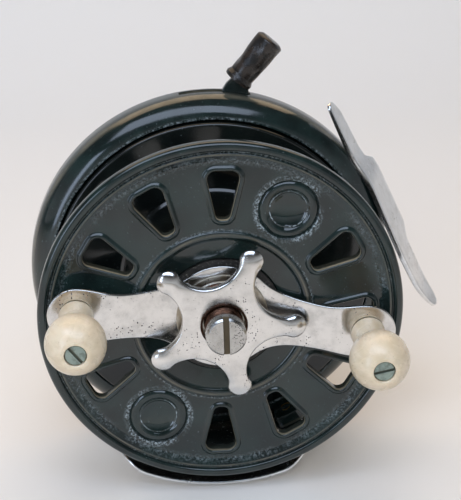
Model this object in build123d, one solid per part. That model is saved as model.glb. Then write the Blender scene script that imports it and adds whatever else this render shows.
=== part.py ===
from build123d import *
import os
from math import asin, atan2, cos, degrees, radians, sin, sqrt

# Centre-pin sea reel with a star drag and twin handles.
# The spool axis is Y, the handles face -Y and +Z is up. The origin is on the axis, midway
# between the spool's front plane and its rear flange. Angles about the axis run from +X
# towards +Z. Lengths are in millimetres, angles in degrees.

# ---- spool
SPOOL_R = 57.5                 # front flange, the 4 1/2 inch size
SPOOL_SPAN = 34.0              # front plane of the rim to the rear flange
FRONT = -SPOOL_SPAN / 2
REAR = SPOOL_SPAN / 2
SPOOL_TURN = -0.6              # how the windows stand at rest
RIM_T = 4.5
FACE_DEPTH = 1.7               # face of the flange behind the front plane
FLANGE_T = 5.0                 # front plane to the flange's inner side
FACE_R = 50.8
HUB_BEAD_R = 28.6
CUP_R = 19.0
CUP_DEPTH = 4.0
CORE_R = 30.0
CORE_COVE = 1.2
SPIGOT_R = 17.0
SPIGOT_L = 4.0
REAR_FLANGE_R = 52.9
REAR_FLANGE_T = 3.5

# ---- windows and blind bosses of the front flange
PITCH_ANGLE = 30.0
BOSS_ANGLES = (60.0, 240.0)
WINDOW_R_IN, WINDOW_R_OUT = 32.2, 47.9
WINDOW_HALF_IN, WINDOW_HALF_OUT = 2.0, 5.6
WINDOW_ROUND_IN, WINDOW_ROUND_OUT = 1.8, 2.6
LIP_W, LIP_H, LIP_ROUND = 1.7, 0.8, 0.6
BOSS_R = 40.3
BOSS_RING_R = 9.4
BOSS_RING_W = 0.9
BOSS_DEPTH = 1.2
DIMPLE_R = 6.0
DIMPLE_DEPTH = 0.7

# ---- shafts and fits
SPINDLE_R = 4.0
RUN = 0.05                     # radial running clearance
SLIP = 0.1                     # axial clearance between turning pieces
CLEAR = 0.3                    # clearance between pieces that pass each other
SLEEVE_R = 6.1
SLEEVE_FRONT = FRONT - 10.0
THREAD_PITCH = 1.0
THREAD_DEPTH = 0.3
THREAD_TURNS = 4
BUSH_R = 8.0
TAP_R = 2.5

# ---- front stack: crank plate, drag washers and star
PLATE_T = 1.5
HUB_R = 16.3
HUB_FACE = FRONT + 0.9         # front of the plate's outer ring
HUB_STEPS = ((14.4, 0.6), (12.4, 1.2))
ARM_FACE = FRONT - 4.8         # front of the plate's arms
RAMP_START, RAMP_END = 16.6, 36.6
RAMP_ROUND = 9.0
WAIST_R, WAIST_HALF = 30.5, 7.4
PLATE_END_R = 8.9
CRANK_ANGLE = -6.0             # right arm below the horizontal at rest
KNOB_R = 45.5                  # knob centres from the spool axis
FIBRE_R, FIBRE_T = 11.8, 0.8
THRUST_R, THRUST_T = 10.4, 1.05
SPRING_R, SPRING_WIRE = 10.2, 0.5
STAR_BACK = FRONT - 3.0
STAR_T = 3.0
STAR_ARMS = 5
STAR_ANGLE = 67.3
STAR_TIP_R, STAR_BULB_R = 22.0, 3.9
STAR_VALLEY_R, STAR_NECK_HALF = 13.0, 3.3
STAR_ROUND = 0.9
STAR_SINK_R, STAR_SINK_DEPTH = 8.6, 1.9
SCREW_HEAD_R, SCREW_HEAD_T, SCREW_CHAMFER = 6.25, 4.1, 0.7
SCREW_SLOT_W, SCREW_SLOT_DEPTH = 1.9, 1.5
SCREW_SHANK_L = 10.0

# ---- knobs
KNOB_BALL_R = 9.2
KNOB_L = 27.1                  # seat to flat end
KNOB_BALL_AT = 19.0            # ball centre from the seat
KNOB_NECK_R, KNOB_FOOT_R = 4.7, 5.4
KNOB_PIN_R = 2.2
KNOB_SCREW_R, KNOB_SCREW_T = 3.2, 1.4
KNOB_TAP_R, KNOB_SCREW_L = 1.1, 8.0
KNOB_SCREW_SINK = 0.6
KNOB_SLOT_ANGLES = (10.0, -45.0)

# ---- rear frame
FRAME_R = 60.6
FRAME_NOSE_R = 9.0             # rounding of the rim's front
FRAME_BORE_R = 53.4
FRAME_NOSE_AT = REAR + 10.3    # centre of that rounding along the axis
FLOOR = REAR + 16.5
BACK = REAR + 20.5
BACK_ROUND = 7.5
BOSS_POST_R, BOSS_POST_FRONT = 9.0, REAR + 8.4
BOSS_STEP_R = 13.0
BACK_BOSS_R, BACK_BOSS_H = 15.0, 1.5
BACK_GROOVE_R, BACK_GROOVE_W = 47.5, 1.4

# ---- ratchet, pawl and lever
RATCHET_TEETH = 24
RATCHET_R, RATCHET_ROOT_R = 17.0, 15.3
RATCHET_FRONT, RATCHET_T = REAR + 5.0, 3.0
REAR_WASHER_R = 13.0
LEVER_FRONT, LEVER_T = REAR + 10.5, 2.0
LEVER_RING_R = 14.0
LEVER_ANGLE, LEVER_TRAVEL = 82.0, 13.0
LEVER_HALF_W = 4.5
STEM_HALF_W, STEM_R = 3.5, 63.6
SLOT_PLAY = 0.4                # slot ends beyond the lever's edges
SLEEVE_BASE_R, SLEEVE_LEAN = 64.2, -31.7
GRIP_L, GRIP_R, GRIP_TOP_R, GRIP_LIP_R = 17.6, 3.9, 4.5, 4.9
LIFT_PIN_R = 1.2
LIFT_PIN_AT = (19.3, 28.5)     # radius and angle of the pin on the lever's ring
LIFT_ARM_HALF = 2.6
PAWL_PIVOT = (27.0, 35.0)      # radius and angle
PAWL_TIP = (18.3, -8.0)
PAWL_HUB_R, PAWL_PIN_R = 4.0, 1.8
PAWL_FRONT, PAWL_T = REAR + 5.2, 2.6
PAWL_TAIL_L = 9.2
PAWL_HALF_W = 1.3
CAM_FRONT, CAM_T = REAR + 8.3, 1.6
LEAF_T, LEAF_L, LEAF_W = 0.5, 14.0, 3.0

# ---- foot
FOOT_ANGLE = 25.5
FOOT_TILT = 20.0               # seat leans back over the rounded rim
FOOT_T = 1.8
FOOT_TIP_T = 1.1
FOOT_UP, FOOT_DOWN = 34.0, 50.0
FOOT_NEAR, FOOT_FAR = 5.0, 7.2
FOOT_CURL, FOOT_CURL_L = 2.2, 17.0
FOOT_WING_R, FOOT_WING_AT = 19.0, -7.0
FOOT_LEG_HALF, FOOT_LEG_END, FOOT_LEG_ROUND = 13.0, 37.0, 7.0
FOOT_BEND_R = 2.0
FOOT_SCREWS = ((48.0, -15.0), (48.0, 1.0), (41.5, -7.0))

# ---- line guard
GUARD_ANGLE = -92.2
GUARD_R, GUARD_T = 60.9, 1.0
GUARD_FRONT, GUARD_BACK = FRONT + 3.8, REAR + 10.0
GUARD_HALF = 33.7
GUARD_ROUND = 9.0
GUARD_FLARE, GUARD_FLARE_L = 1.0, 3.0
LUG_SPREAD, LUG_HALF_ANGLE, LUG_T = 28.6, 5.2, 4.8
LUG_FRONT = FRONT + 27.5
GUARD_SCREW_Y = FRONT + 32.8
GUARD_SCREW_R, GUARD_SCREW_HEAD_R, GUARD_SCREW_HEAD_T = 1.5, 2.9, 0.9
GUARD_INSERT_R = 2.4

# ---- fasteners
M3_R, M3_HEAD_R, M3_HEAD_T, M3_SLOT_W = 1.5, 2.8, 1.7, 0.7
NUT_FLAT, NUT_T = 13.0, 4.0
NUT_WASHER_R, NUT_WASHER_T = 8.5, 1.2
SPOOL_SCREW_AT, SPOOL_SCREW_L = 21.0, 11.0


# ------------------------------------------------------------------ helpers
def outline(*corners):
    """Closed outline through (x, y) or (x, y, rounding) corners."""
    face = make_face(Polyline(*[corner[:2] for corner in corners], close=True))
    for corner in corners:
        if len(corner) == 3:
            vertex = face.vertices().sort_by_distance((corner[0], corner[1], 0))[0]
            face = fillet(vertex, corner[2])
    return face


def lathe(*corners):
    """Solid turned about the spool axis from (radius, place) corners."""
    return revolve(outline(*corners), axis=Axis.Y)


def ring(r_in, r_out, y_0, y_1):
    """Disc or tube about the spool axis."""
    return lathe((r_in, y_0), (r_out, y_0), (r_out, y_1), (r_in, y_1))


def turned(shape, angle):
    """Turn a shape about the spool axis, from +X towards +Z."""
    return Rot(0, -angle, 0) * shape


def slab(sketch, y_0, y_1):
    """Prism of a sketch whose x and y are the part's X and Z."""
    return extrude(Plane.XZ.offset(-y_0) * sketch, y_1 - y_0, dir=(0, 1, 0))


def sector(r_in, r_out, y_0, y_1, angle_0, angle_1):
    """Piece of a tube about the spool axis between two angles."""
    section = outline((r_in, y_0), (r_out, y_0), (r_out, y_1), (r_in, y_1))
    return turned(revolve(section, axis=Axis.Y, revolution_arc=angle_1 - angle_0), angle_1)


def polar(radius, angle):
    """X and Z of a point given by radius and angle."""
    return radius * cos(radians(angle)), radius * sin(radians(angle))


def pin(x, z, radius, y_0, y_1):
    """Round bar parallel to the spool axis."""
    return Pos(x, 0, z) * ring(0, radius, y_0, y_1)


def bar(x_0, z_0, x_1, z_1, half, y_0, y_1):
    """Flat link with round ends between two points."""
    length = sqrt((x_1 - x_0) ** 2 + (z_1 - z_0) ** 2)
    lean = degrees(atan2(z_1 - z_0, x_1 - x_0))
    middle = Pos((x_0 + x_1) / 2, (z_0 + z_1) / 2)
    link = middle * Rot(0, 0, lean) * SlotOverall(length + 2 * half, 2 * half)
    return slab(link, y_0, y_1)


def slotted_screw(radius, length, head_r, head_t, slot_w, slot_angle):
    """Screw along +Y: the head's back face is at 0, its shank runs to +length."""
    head = lathe((0, -head_t), (head_r, -head_t, head_t * 0.45), (head_r, 0), (0, 0))
    slot = turned(Pos(0, -head_t, 0) * Box(3 * head_r, head_t, slot_w), slot_angle)
    return head + ring(0, radius, 0, length) - slot


# ------------------------------------------------------------------ spool
def window(grow=0.0):
    """Tapered window outline along +X."""
    plain = outline(
        (WINDOW_R_IN, -WINDOW_HALF_IN, WINDOW_ROUND_IN),
        (WINDOW_R_OUT, -WINDOW_HALF_OUT, WINDOW_ROUND_OUT),
        (WINDOW_R_OUT, WINDOW_HALF_OUT, WINDOW_ROUND_OUT),
        (WINDOW_R_IN, WINDOW_HALF_IN, WINDOW_ROUND_IN),
    )
    return offset(plain, grow) if grow else plain


def window_angles():
    """Every place of the pattern that has no blind boss."""
    places = [PITCH_ANGLE * i for i in range(round(360 / PITCH_ANGLE))]
    return [angle for angle in places if angle not in BOSS_ANGLES]


def spool_front_flange():
    face = FRONT + FACE_DEPTH
    inner = FRONT + FLANGE_T
    bead = HUB_BEAD_R
    disc = lathe(
        (SLEEVE_R + 0.5, FRONT + CUP_DEPTH),
        (CUP_R, FRONT + CUP_DEPTH),
        (CUP_R, FRONT + CUP_DEPTH - 0.9, 0.3),
        (bead - 2.2, face + 0.25, 0.8),
        (bead - 1.7, face - 0.6, 0.4),
        (bead - 0.3, face - 0.6, 0.5),
        (bead, face, 0.3),
        (FACE_R, face, 1.6),
        (FACE_R + 2.2, FRONT + 0.55, 0.5),
        (FACE_R + 2.9, FRONT + 0.55, 0.3),
        (FACE_R + 3.2, FRONT + 1.2, 0.2),
        (FACE_R + 3.6, FRONT + 1.2, 0.2),
        (FACE_R + 4.0, FRONT, 0.6),
        (SPOOL_R, FRONT, 1.9),
        (SPOOL_R, FRONT + RIM_T, 1.6),
        (SPOOL_R - 4.0, FRONT + RIM_T, 1.5),
        (SPOOL_R - 6.0, inner, 1.5),
        (SPIGOT_R, inner),
        (SPIGOT_R, inner + SPIGOT_L),
        (SLEEVE_R + 0.5, inner + SPIGOT_L),
    )
    lip = slab(window(LIP_W), face - LIP_H, face + 0.5)
    hole = slab(window(), FRONT - 1, inner + 1)
    for angle in window_angles():
        disc += turned(lip, angle)
    for angle in window_angles():
        disc -= turned(hole, angle)
    crest = disc.edges().filter_by_position(Axis.Y, face - LIP_H - 0.01, face - LIP_H + 0.01)
    disc = fillet(crest.filter_by(lambda edge: edge.center().Y < face), LIP_ROUND)
    for angle in BOSS_ANGLES:
        disc = blind_boss(disc, face, angle)
    return turned(disc, SPOOL_TURN)


def blind_boss(disc, face, angle):
    """Shallow stepped recess with a dimpled middle, ringed by a fine bead."""
    floor = face + BOSS_DEPTH
    bead = lathe(
        (BOSS_RING_R - 0.6, face - 0.35, 0.2),
        (BOSS_RING_R + BOSS_RING_W, face - 0.35, 0.3),
        (BOSS_RING_R + BOSS_RING_W + 0.3, face + 0.3),
        (BOSS_RING_R - 0.6, face + 0.3),
    )
    recess = lathe((0, face - 1), (BOSS_RING_R, face - 1), (BOSS_RING_R, face - 0.1, 0.3),
                   (BOSS_RING_R - 1.3, floor, 0.8), (0, floor))
    edge = ring(DIMPLE_R, DIMPLE_R + 0.35, floor - 0.25, floor + 0.2)
    ball_r = (DIMPLE_R ** 2 + DIMPLE_DEPTH ** 2) / (2 * DIMPLE_DEPTH)
    dimple = Pos(0, floor + DIMPLE_DEPTH - ball_r, 0) * Sphere(ball_r)
    dimple &= ring(0, DIMPLE_R, floor - 1, floor + DIMPLE_DEPTH)
    place = Pos(BOSS_R, 0, 0)
    disc = disc + turned(place * bead, angle) - turned(place * recess, angle)
    return disc + turned(place * edge, angle) - turned(place * dimple, angle)


def spool_core():
    front = FRONT + FLANGE_T
    core = lathe(
        (BUSH_R, front + SPIGOT_L),
        (SPIGOT_R, front + SPIGOT_L),
        (SPIGOT_R, front),
        (CORE_R + CORE_COVE, front),
        (CORE_R + CORE_COVE * 0.9, front + 0.4),
        (CORE_R, front + CORE_COVE, CORE_COVE * 0.7),
        (CORE_R, REAR - CORE_COVE, CORE_COVE * 0.7),
        (CORE_R + CORE_COVE * 0.9, REAR - 0.4),
        (CORE_R + CORE_COVE, REAR),
        (BUSH_R, REAR),
    )
    return core - spool_screw_holes()


def spool_rear_flange():
    back = REAR + REAR_FLANGE_T
    disc = lathe((BUSH_R, REAR), (REAR_FLANGE_R, REAR, 0.9), (REAR_FLANGE_R, back, 0.9),
                 (BUSH_R, back))
    return disc - spool_screw_holes()


def spool_screw_places():
    return [polar(SPOOL_SCREW_AT, 30 + 120 * i) for i in range(3)]


def spool_screw_holes():
    """Countersunk holes from the back of the rear flange into the core."""
    back = REAR + REAR_FLANGE_T
    holes = [pin(x, z, M3_R, back - SPOOL_SCREW_L, back) for x, z in spool_screw_places()]
    sinks = [pin(x, z, M3_HEAD_R, back - M3_HEAD_T, back) for x, z in spool_screw_places()]
    return holes + sinks


def spool_screws():
    back = REAR + REAR_FLANGE_T
    screw = ring(0, M3_R, back - SPOOL_SCREW_L, back - M3_HEAD_T)
    screw += ring(0, M3_HEAD_R, back - M3_HEAD_T, back)
    screw -= Pos(0, back, 0) * Box(3 * M3_HEAD_R, M3_HEAD_T, M3_SLOT_W)
    return [Pos(x, 0, z) * screw for x, z in spool_screw_places()]


def spool_bush():
    return ring(SLEEVE_R + RUN, BUSH_R, FRONT + FLANGE_T + SPIGOT_L, REAR + REAR_FLANGE_T)


def drag_washer_front():
    """Leather disc in the hub cup, under the crank plate."""
    return ring(SLEEVE_R + CLEAR, CUP_R - CLEAR, HUB_FACE + PLATE_T + SLIP, FRONT + CUP_DEPTH)


def drag_washer_rear():
    """Leather disc between the spool and the ratchet wheel."""
    return ring(SLEEVE_R + CLEAR, REAR_WASHER_R, REAR + REAR_FLANGE_T, RATCHET_FRONT - SLIP)


# ------------------------------------------------------------------ crank, drag and star
def plate_arm():
    """One arm of the crank plate along +X, in plan."""
    side = Spline((KNOB_R, PLATE_END_R), (WAIST_R, WAIST_HALF), polar(HUB_R, 50),
                  tangents=[(-1, 0), (-sin(radians(50)), cos(radians(50)))])
    end = ThreePointArc((KNOB_R, -PLATE_END_R), (KNOB_R + PLATE_END_R, 0), (KNOB_R, PLATE_END_R))
    root = Line(polar(HUB_R, 50), polar(HUB_R, -50))
    return make_face([end, side, root, mirror(side, about=Plane.XZ)])


def crank_plate():
    back = HUB_FACE + PLATE_T
    rise = HUB_FACE - ARM_FACE
    reach = KNOB_R + PLATE_END_R + 5
    side = outline(
        (0, HUB_FACE), (RAMP_START, HUB_FACE, RAMP_ROUND), (RAMP_END, ARM_FACE, RAMP_ROUND),
        (reach, ARM_FACE), (reach, ARM_FACE + PLATE_T),
        (RAMP_END + 0.2, back - rise, RAMP_ROUND), (RAMP_START + 0.2, back, RAMP_ROUND),
        (0, back),
    )
    arm = extrude(side, 2 * HUB_R, both=True) & slab(plate_arm(), ARM_FACE - 1, back + 1)
    arm -= pin(KNOB_R, 0, KNOB_PIN_R, ARM_FACE - 1, back)
    hub = ring(0, HUB_R, HUB_FACE, back)
    hub += [ring(0, radius, HUB_FACE - rise_, back) for radius, rise_ in HUB_STEPS]
    plate = hub + arm + Rot(0, 180, 0) * arm
    plate -= ring(0, SLEEVE_R, ARM_FACE - 1, back + 1)
    return turned(plate, CRANK_ANGLE)


def drive_sleeve():
    """Brass sleeve that carries plate and ratchet; its nose has the star's thread."""
    rear = RATCHET_FRONT + RATCHET_T
    sleeve = ring(SPINDLE_R + RUN, SLEEVE_R, SLEEVE_FRONT, rear)
    for i in range(THREAD_TURNS):
        root = SLEEVE_FRONT + (i + 0.7) * THREAD_PITCH
        sleeve -= lathe((SLEEVE_R - THREAD_DEPTH, root), (SLEEVE_R + 1, root - 0.65),
                        (SLEEVE_R + 1, root + 0.65))
    return sleeve


def stack_front():
    """Front of the plate's stepped hub, where the washers begin."""
    return HUB_FACE - HUB_STEPS[-1][1]


def fibre_washer():
    return ring(SLEEVE_R, FIBRE_R, stack_front() - FIBRE_T, stack_front())


def thrust_washer():
    return ring(SLEEVE_R + RUN, THRUST_R, STAR_BACK + SLIP, STAR_BACK + SLIP + THRUST_T)


def spring_washer():
    """Split spring washer between the fibre and thrust washers."""
    y_1 = stack_front() - FIBRE_T
    washer = ring(SLEEVE_R + 0.6, SPRING_R, y_1 - SPRING_WIRE, y_1)
    split = turned(Pos(SPRING_R, 0, 0) * Box(SPRING_R, 4 * SPRING_R, 0.8), 150)
    return washer - split


def star_wheel():
    reach = (STAR_VALLEY_R - STAR_NECK_HALF) / (1 - sin(radians(180 / STAR_ARMS)))
    star = Circle(STAR_TIP_R)
    for i in range(STAR_ARMS):
        angle = 360 * i / STAR_ARMS
        star -= Pos(*polar(reach, angle + 180 / STAR_ARMS)) * Circle(reach - STAR_VALLEY_R)
    for i in range(STAR_ARMS):
        star += Pos(*polar(STAR_TIP_R, 360 * i / STAR_ARMS)) * Circle(STAR_BULB_R)
    star = fillet(star.vertices(), STAR_ROUND)
    front = STAR_BACK - STAR_T
    wheel = slab(star, front, STAR_BACK)
    wheel = fillet(wheel.edges().filter_by_position(Axis.Y, front - 0.01, front + 0.01), STAR_ROUND)
    rear_edges = wheel.edges().filter_by_position(Axis.Y, STAR_BACK - 0.01, STAR_BACK + 0.01)
    wheel = fillet(rear_edges, STAR_ROUND * 0.5)
    wheel -= ring(0, SLEEVE_R + RUN, front - 1, STAR_BACK + 1)
    wheel -= lathe((0, front - 0.1), (STAR_SINK_R, front - 0.1), (STAR_SINK_R, front),
                   (SLEEVE_R, front + STAR_SINK_DEPTH), (0, front + STAR_SINK_DEPTH))
    return turned(wheel, STAR_ANGLE)


def ratchet_wheel():
    wheel = Circle(RATCHET_ROOT_R)
    pitch = 360 / RATCHET_TEETH
    for i in range(RATCHET_TEETH):
        tooth = outline(polar(RATCHET_ROOT_R - 0.6, i * pitch - 0.5 * pitch),
                        polar(RATCHET_R, i * pitch + 0.3 * pitch),
                        polar(RATCHET_R, i * pitch + 0.4 * pitch),
                        polar(RATCHET_ROOT_R - 0.6, i * pitch + 0.5 * pitch))
        wheel += tooth
    wheel = slab(wheel, RATCHET_FRONT, RATCHET_FRONT + RATCHET_T)
    return wheel - ring(0, SLEEVE_R, RATCHET_FRONT - 1, RATCHET_FRONT + RATCHET_T + 1)


def knob_places():
    """Both knob centres on the crank, right one first."""
    return [turned(Pos(KNOB_R, ARM_FACE, 0), CRANK_ANGLE), turned(Pos(KNOB_R, ARM_FACE, 0), CRANK_ANGLE + 180)]


def knob():
    """Ball knob along -Y with its seat at 0."""
    drop = sqrt(KNOB_BALL_R ** 2 - (KNOB_NECK_R + 0.3) ** 2)
    waist = KNOB_BALL_AT - drop
    end_r = sqrt(KNOB_BALL_R ** 2 - (KNOB_L - KNOB_BALL_AT) ** 2)
    neck = Spline((KNOB_FOOT_R, -CLEAR), (KNOB_NECK_R, -0.45 * waist), (KNOB_NECK_R + 0.3, -waist))
    ball = ThreePointArc((KNOB_NECK_R + 0.3, -waist), (KNOB_BALL_R, -KNOB_BALL_AT), (end_r, -KNOB_L))
    rest = Polyline((end_r, -KNOB_L), (0, -KNOB_L), (0, -CLEAR), (KNOB_FOOT_R, -CLEAR))
    body = revolve(make_face([neck, ball, rest]), axis=Axis.Y)
    head = KNOB_L - KNOB_SCREW_T - KNOB_SCREW_SINK
    return body - ring(0, KNOB_PIN_R + RUN, -head, 0) - ring(0, KNOB_SCREW_R + 0.15, -KNOB_L, -head)


def knob_pin():
    """Shouldered steel pin, riveted behind the crank plate and tapped for the screw."""
    head = KNOB_L - KNOB_SCREW_T - KNOB_SCREW_SINK
    body = ring(0, KNOB_PIN_R, -head - SLIP, PLATE_T)
    body -= ring(0, KNOB_TAP_R, -head - 1, -head - SLIP + KNOB_SCREW_L + 0.5)
    return body + lathe((0, PLATE_T), (KNOB_PIN_R + 1.2, PLATE_T), (KNOB_PIN_R + 0.8, PLATE_T + 0.7),
                        (0, PLATE_T + 0.7))


def knob_screw(slot_angle):
    head = KNOB_L - KNOB_SCREW_T - KNOB_SCREW_SINK
    screw = slotted_screw(KNOB_TAP_R, KNOB_SCREW_L, KNOB_SCREW_R, KNOB_SCREW_T, M3_SLOT_W, slot_angle)
    return Pos(0, -head - SLIP, 0) * screw


# ------------------------------------------------------------------ frame and what it carries
def rear_frame():
    nose = FRAME_NOSE_R
    centre_r = FRAME_R - nose
    lip = FRAME_NOSE_AT - sqrt(nose ** 2 - (FRAME_BORE_R - centre_r) ** 2)
    rim = ThreePointArc((FRAME_BORE_R, lip), (centre_r + nose * cos(radians(35)),
                        FRAME_NOSE_AT - nose * sin(radians(35))), (FRAME_R, FRAME_NOSE_AT))
    rest = Polyline((FRAME_R, FRAME_NOSE_AT), (FRAME_R, BACK), (BACK_BOSS_R, BACK),
                    (BACK_BOSS_R, BACK + BACK_BOSS_H), (SPINDLE_R, BACK + BACK_BOSS_H),
                    (SPINDLE_R, BOSS_POST_FRONT), (BOSS_POST_R, BOSS_POST_FRONT),
                    (BOSS_POST_R, LEVER_FRONT + LEVER_T + SLIP), (BOSS_STEP_R, LEVER_FRONT + LEVER_T + SLIP),
                    (BOSS_STEP_R, FLOOR), (FRAME_BORE_R, FLOOR), (FRAME_BORE_R, lip))
    section = make_face([rim, rest])
    for x, y, radius in ((FRAME_R, BACK, BACK_ROUND), (FRAME_BORE_R, FLOOR, 2.5),
                         (BACK_BOSS_R, BACK + BACK_BOSS_H, 0.8)):
        section = fillet(section.vertices().sort_by_distance((x, y, 0))[0], radius)
    frame = revolve(section, axis=Axis.Y)
    frame -= ring(BACK_GROOVE_R - BACK_GROOVE_W, BACK_GROOVE_R, BACK - 0.7, BACK + 1)
    for side in (-1, 1):
        middle = GUARD_ANGLE + side * LUG_SPREAD
        lug = sector(GUARD_R - LUG_T, GUARD_R, LUG_FRONT, GUARD_BACK,
                     middle - LUG_HALF_ANGLE, middle + LUG_HALF_ANGLE)
        lug = fillet(lug.edges().filter_by_position(Axis.Y, LUG_FRONT - 0.01, LUG_FRONT + 0.01), 0.8)
        frame += lug
        frame -= guard_hole(middle, GUARD_INSERT_R)
    slot_half = degrees(asin((LEVER_HALF_W + SLOT_PLAY) / FRAME_BORE_R))
    frame -= sector(FRAME_BORE_R - 2, FRAME_R + 5, LEVER_FRONT - 0.5, LEVER_FRONT + LEVER_T + 0.5,
                    LEVER_ANGLE - slot_half, LEVER_ANGLE + LEVER_TRAVEL + slot_half)
    for h, t in FOOT_SCREWS:
        x, z = foot_point(h, t)
        frame -= pin(x, z, M3_R, FLOOR + 0.5, BACK + 1)
    frame -= pin(*polar(*PAWL_PIVOT), PAWL_PIN_R, FLOOR - 1, FLOOR + 2.5)
    frame -= pin(*leaf_anchor(), M3_R, FLOOR - 1, FLOOR + 2.5)
    return frame


def spindle():
    rod = ring(0, SPINDLE_R, SLEEVE_FRONT + 0.4, BACK + BACK_BOSS_H + NUT_WASHER_T + NUT_T + 1.5)
    rod = chamfer(rod.edges().sort_by(Axis.Y)[-1], 0.8)
    return rod - ring(0, TAP_R, SLEEVE_FRONT - 1, SLEEVE_FRONT + SCREW_SHANK_L + 0.5)


def spindle_washer():
    y_0 = BACK + BACK_BOSS_H
    return ring(SPINDLE_R, NUT_WASHER_R, y_0, y_0 + NUT_WASHER_T)


def spindle_nut():
    y_0 = BACK + BACK_BOSS_H + NUT_WASHER_T
    nut = slab(RegularPolygon(NUT_FLAT / 2, 6, major_radius=False), y_0, y_0 + NUT_T)
    nut &= lathe((0, y_0), (NUT_FLAT * 0.6, y_0), (NUT_FLAT * 0.6, y_0 + NUT_T - 0.9),
                 (NUT_FLAT * 0.49, y_0 + NUT_T), (0, y_0 + NUT_T))
    return nut - ring(0, SPINDLE_R, y_0 - 1, y_0 + NUT_T + 1)


def centre_screw():
    """Large slotted screw that keeps the sleeve on the spindle."""
    back = SLEEVE_FRONT - SLIP
    front = back - SCREW_HEAD_T
    head = lathe((0, front), (SCREW_HEAD_R - SCREW_CHAMFER, front, 0.3), (SCREW_HEAD_R, front + SCREW_CHAMFER, 0.3),
                 (SCREW_HEAD_R, back), (0, back))
    slot = Pos(0, front, 0) * Box(SCREW_SLOT_W, 2 * SCREW_SLOT_DEPTH, 3 * SCREW_HEAD_R)
    return head + ring(0, TAP_R, back, SLEEVE_FRONT + SCREW_SHANK_L) - slot


# ------------------------------------------------------------------ check lever and pawl
def lever_arm():
    """Ring round the boss, long arm to the slot, stem for the grip and a short finger."""
    y_0, y_1 = LEVER_FRONT, LEVER_FRONT + LEVER_T
    arm = outline((0, -3.2), (FRAME_BORE_R - 4, -LEVER_HALF_W, 4), (FRAME_R + 0.6, -LEVER_HALF_W, 0.8),
                  (STEM_R, -STEM_HALF_W), (STEM_R, STEM_HALF_W), (FRAME_R + 0.6, LEVER_HALF_W, 0.8),
                  (FRAME_BORE_R - 4, LEVER_HALF_W, 4), (0, 3.2))
    tongue = Pos(STEM_R, 0) * Rot(0, 0, SLEEVE_LEAN) * Pos(3.6, 0) * Rectangle(10, 4.6)
    lever = turned(slab(arm + tongue, y_0, y_1), LEVER_ANGLE)
    lever += ring(0, LEVER_RING_R, y_0, y_1)
    x, z = polar(*LIFT_PIN_AT)
    lever += bar(0, 0, x, z, LIFT_ARM_HALF, y_0, y_1)
    return lever - ring(0, BOSS_POST_R + RUN, y_0 - 1, y_1 + 1)


def lift_pin():
    """Pin on the lever's finger that holds the pawl out of the ratchet."""
    return pin(*polar(*LIFT_PIN_AT), LIFT_PIN_R, CAM_FRONT, LEVER_FRONT)


def lever_grip():
    """Moulded rubber sleeve with a flared lip, pushed over the lever's tongue."""
    body = revolve(outline((0, 0), (0, GRIP_LIP_R, 0.3), (1.2, GRIP_LIP_R, 0.5), (2.6, GRIP_R, 1.5),
                           (GRIP_L - 2.6, GRIP_TOP_R, 1.0), (GRIP_L, GRIP_TOP_R - 1.5, 1.3), (GRIP_L, 0)),
                   axis=Axis.X)
    grip = Pos(SLEEVE_BASE_R, LEVER_FRONT + LEVER_T / 2, 0) * turned(body, SLEEVE_LEAN)
    return turned(grip, LEVER_ANGLE) - lever_arm()


def lever_retainer():
    """Brass collar on the boss that keeps the lever back."""
    return ring(BOSS_POST_R, BOSS_POST_R + 2.0, LEVER_FRONT - SLIP - 1.0, LEVER_FRONT - SLIP)


def pawl_direction():
    """Unit X and Z from the pawl's pivot to its tip."""
    x_0, z_0 = polar(*PAWL_PIVOT)
    x_1, z_1 = polar(*PAWL_TIP)
    length = sqrt((x_1 - x_0) ** 2 + (z_1 - z_0) ** 2)
    return (x_1 - x_0) / length, (z_1 - z_0) / length, length


def check_pawl():
    x, z = polar(*PAWL_PIVOT)
    dx, dz, length = pawl_direction()
    y_0, y_1 = PAWL_FRONT, PAWL_FRONT + PAWL_T
    half = PAWL_HALF_W
    blade = outline((0, -half), (length - 9, -half, 2), (length - 6, 0.2, 2), (length, 0),
                    (length - 0.5, 0.6), (length - 5, 2 * half, 3), (0, half))
    pawl = slab(Pos(x, z) * Rot(0, 0, degrees(atan2(dz, dx))) * blade, y_0, y_1)
    pawl += bar(x, z, x - PAWL_TAIL_L * dx, z - PAWL_TAIL_L * dz, half, y_0, y_1)
    pawl += pin(x, z, PAWL_HUB_R, y_0, CAM_FRONT + CAM_T)
    cam_x, cam_z = cam_end()
    pawl += bar(x, z, cam_x, cam_z, PAWL_HALF_W, CAM_FRONT, CAM_FRONT + CAM_T)
    return pawl - pin(x, z, PAWL_PIN_R + RUN, y_0 - 1, CAM_FRONT + CAM_T + 1)


def cam_end():
    """End of the pawl's cam lobe, beside the lift pin."""
    x, z = polar(*PAWL_PIVOT)
    pin_x, pin_z = polar(*LIFT_PIN_AT)
    gap = LIFT_PIN_R + CLEAR + PAWL_HALF_W
    span = sqrt((pin_x - x) ** 2 + (pin_z - z) ** 2)
    reach = sqrt(span ** 2 - gap ** 2)
    ux, uz = (pin_x - x) / span, (pin_z - z) / span
    return (x + reach * (ux * reach - uz * gap) / span, z + reach * (uz * reach + ux * gap) / span)


def pawl_pin():
    """Headed pivot of the pawl, set in the frame's floor."""
    x, z = polar(*PAWL_PIVOT)
    post = pin(x, z, PAWL_PIN_R, PAWL_FRONT - 0.9, FLOOR + 2.5)
    post += pin(x, z, PAWL_PIN_R + 1.2, PAWL_FRONT - 0.9, PAWL_FRONT - SLIP)
    return post + pin(x, z, PAWL_PIN_R + 1.5, CAM_FRONT + CAM_T + SLIP, FLOOR)


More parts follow.
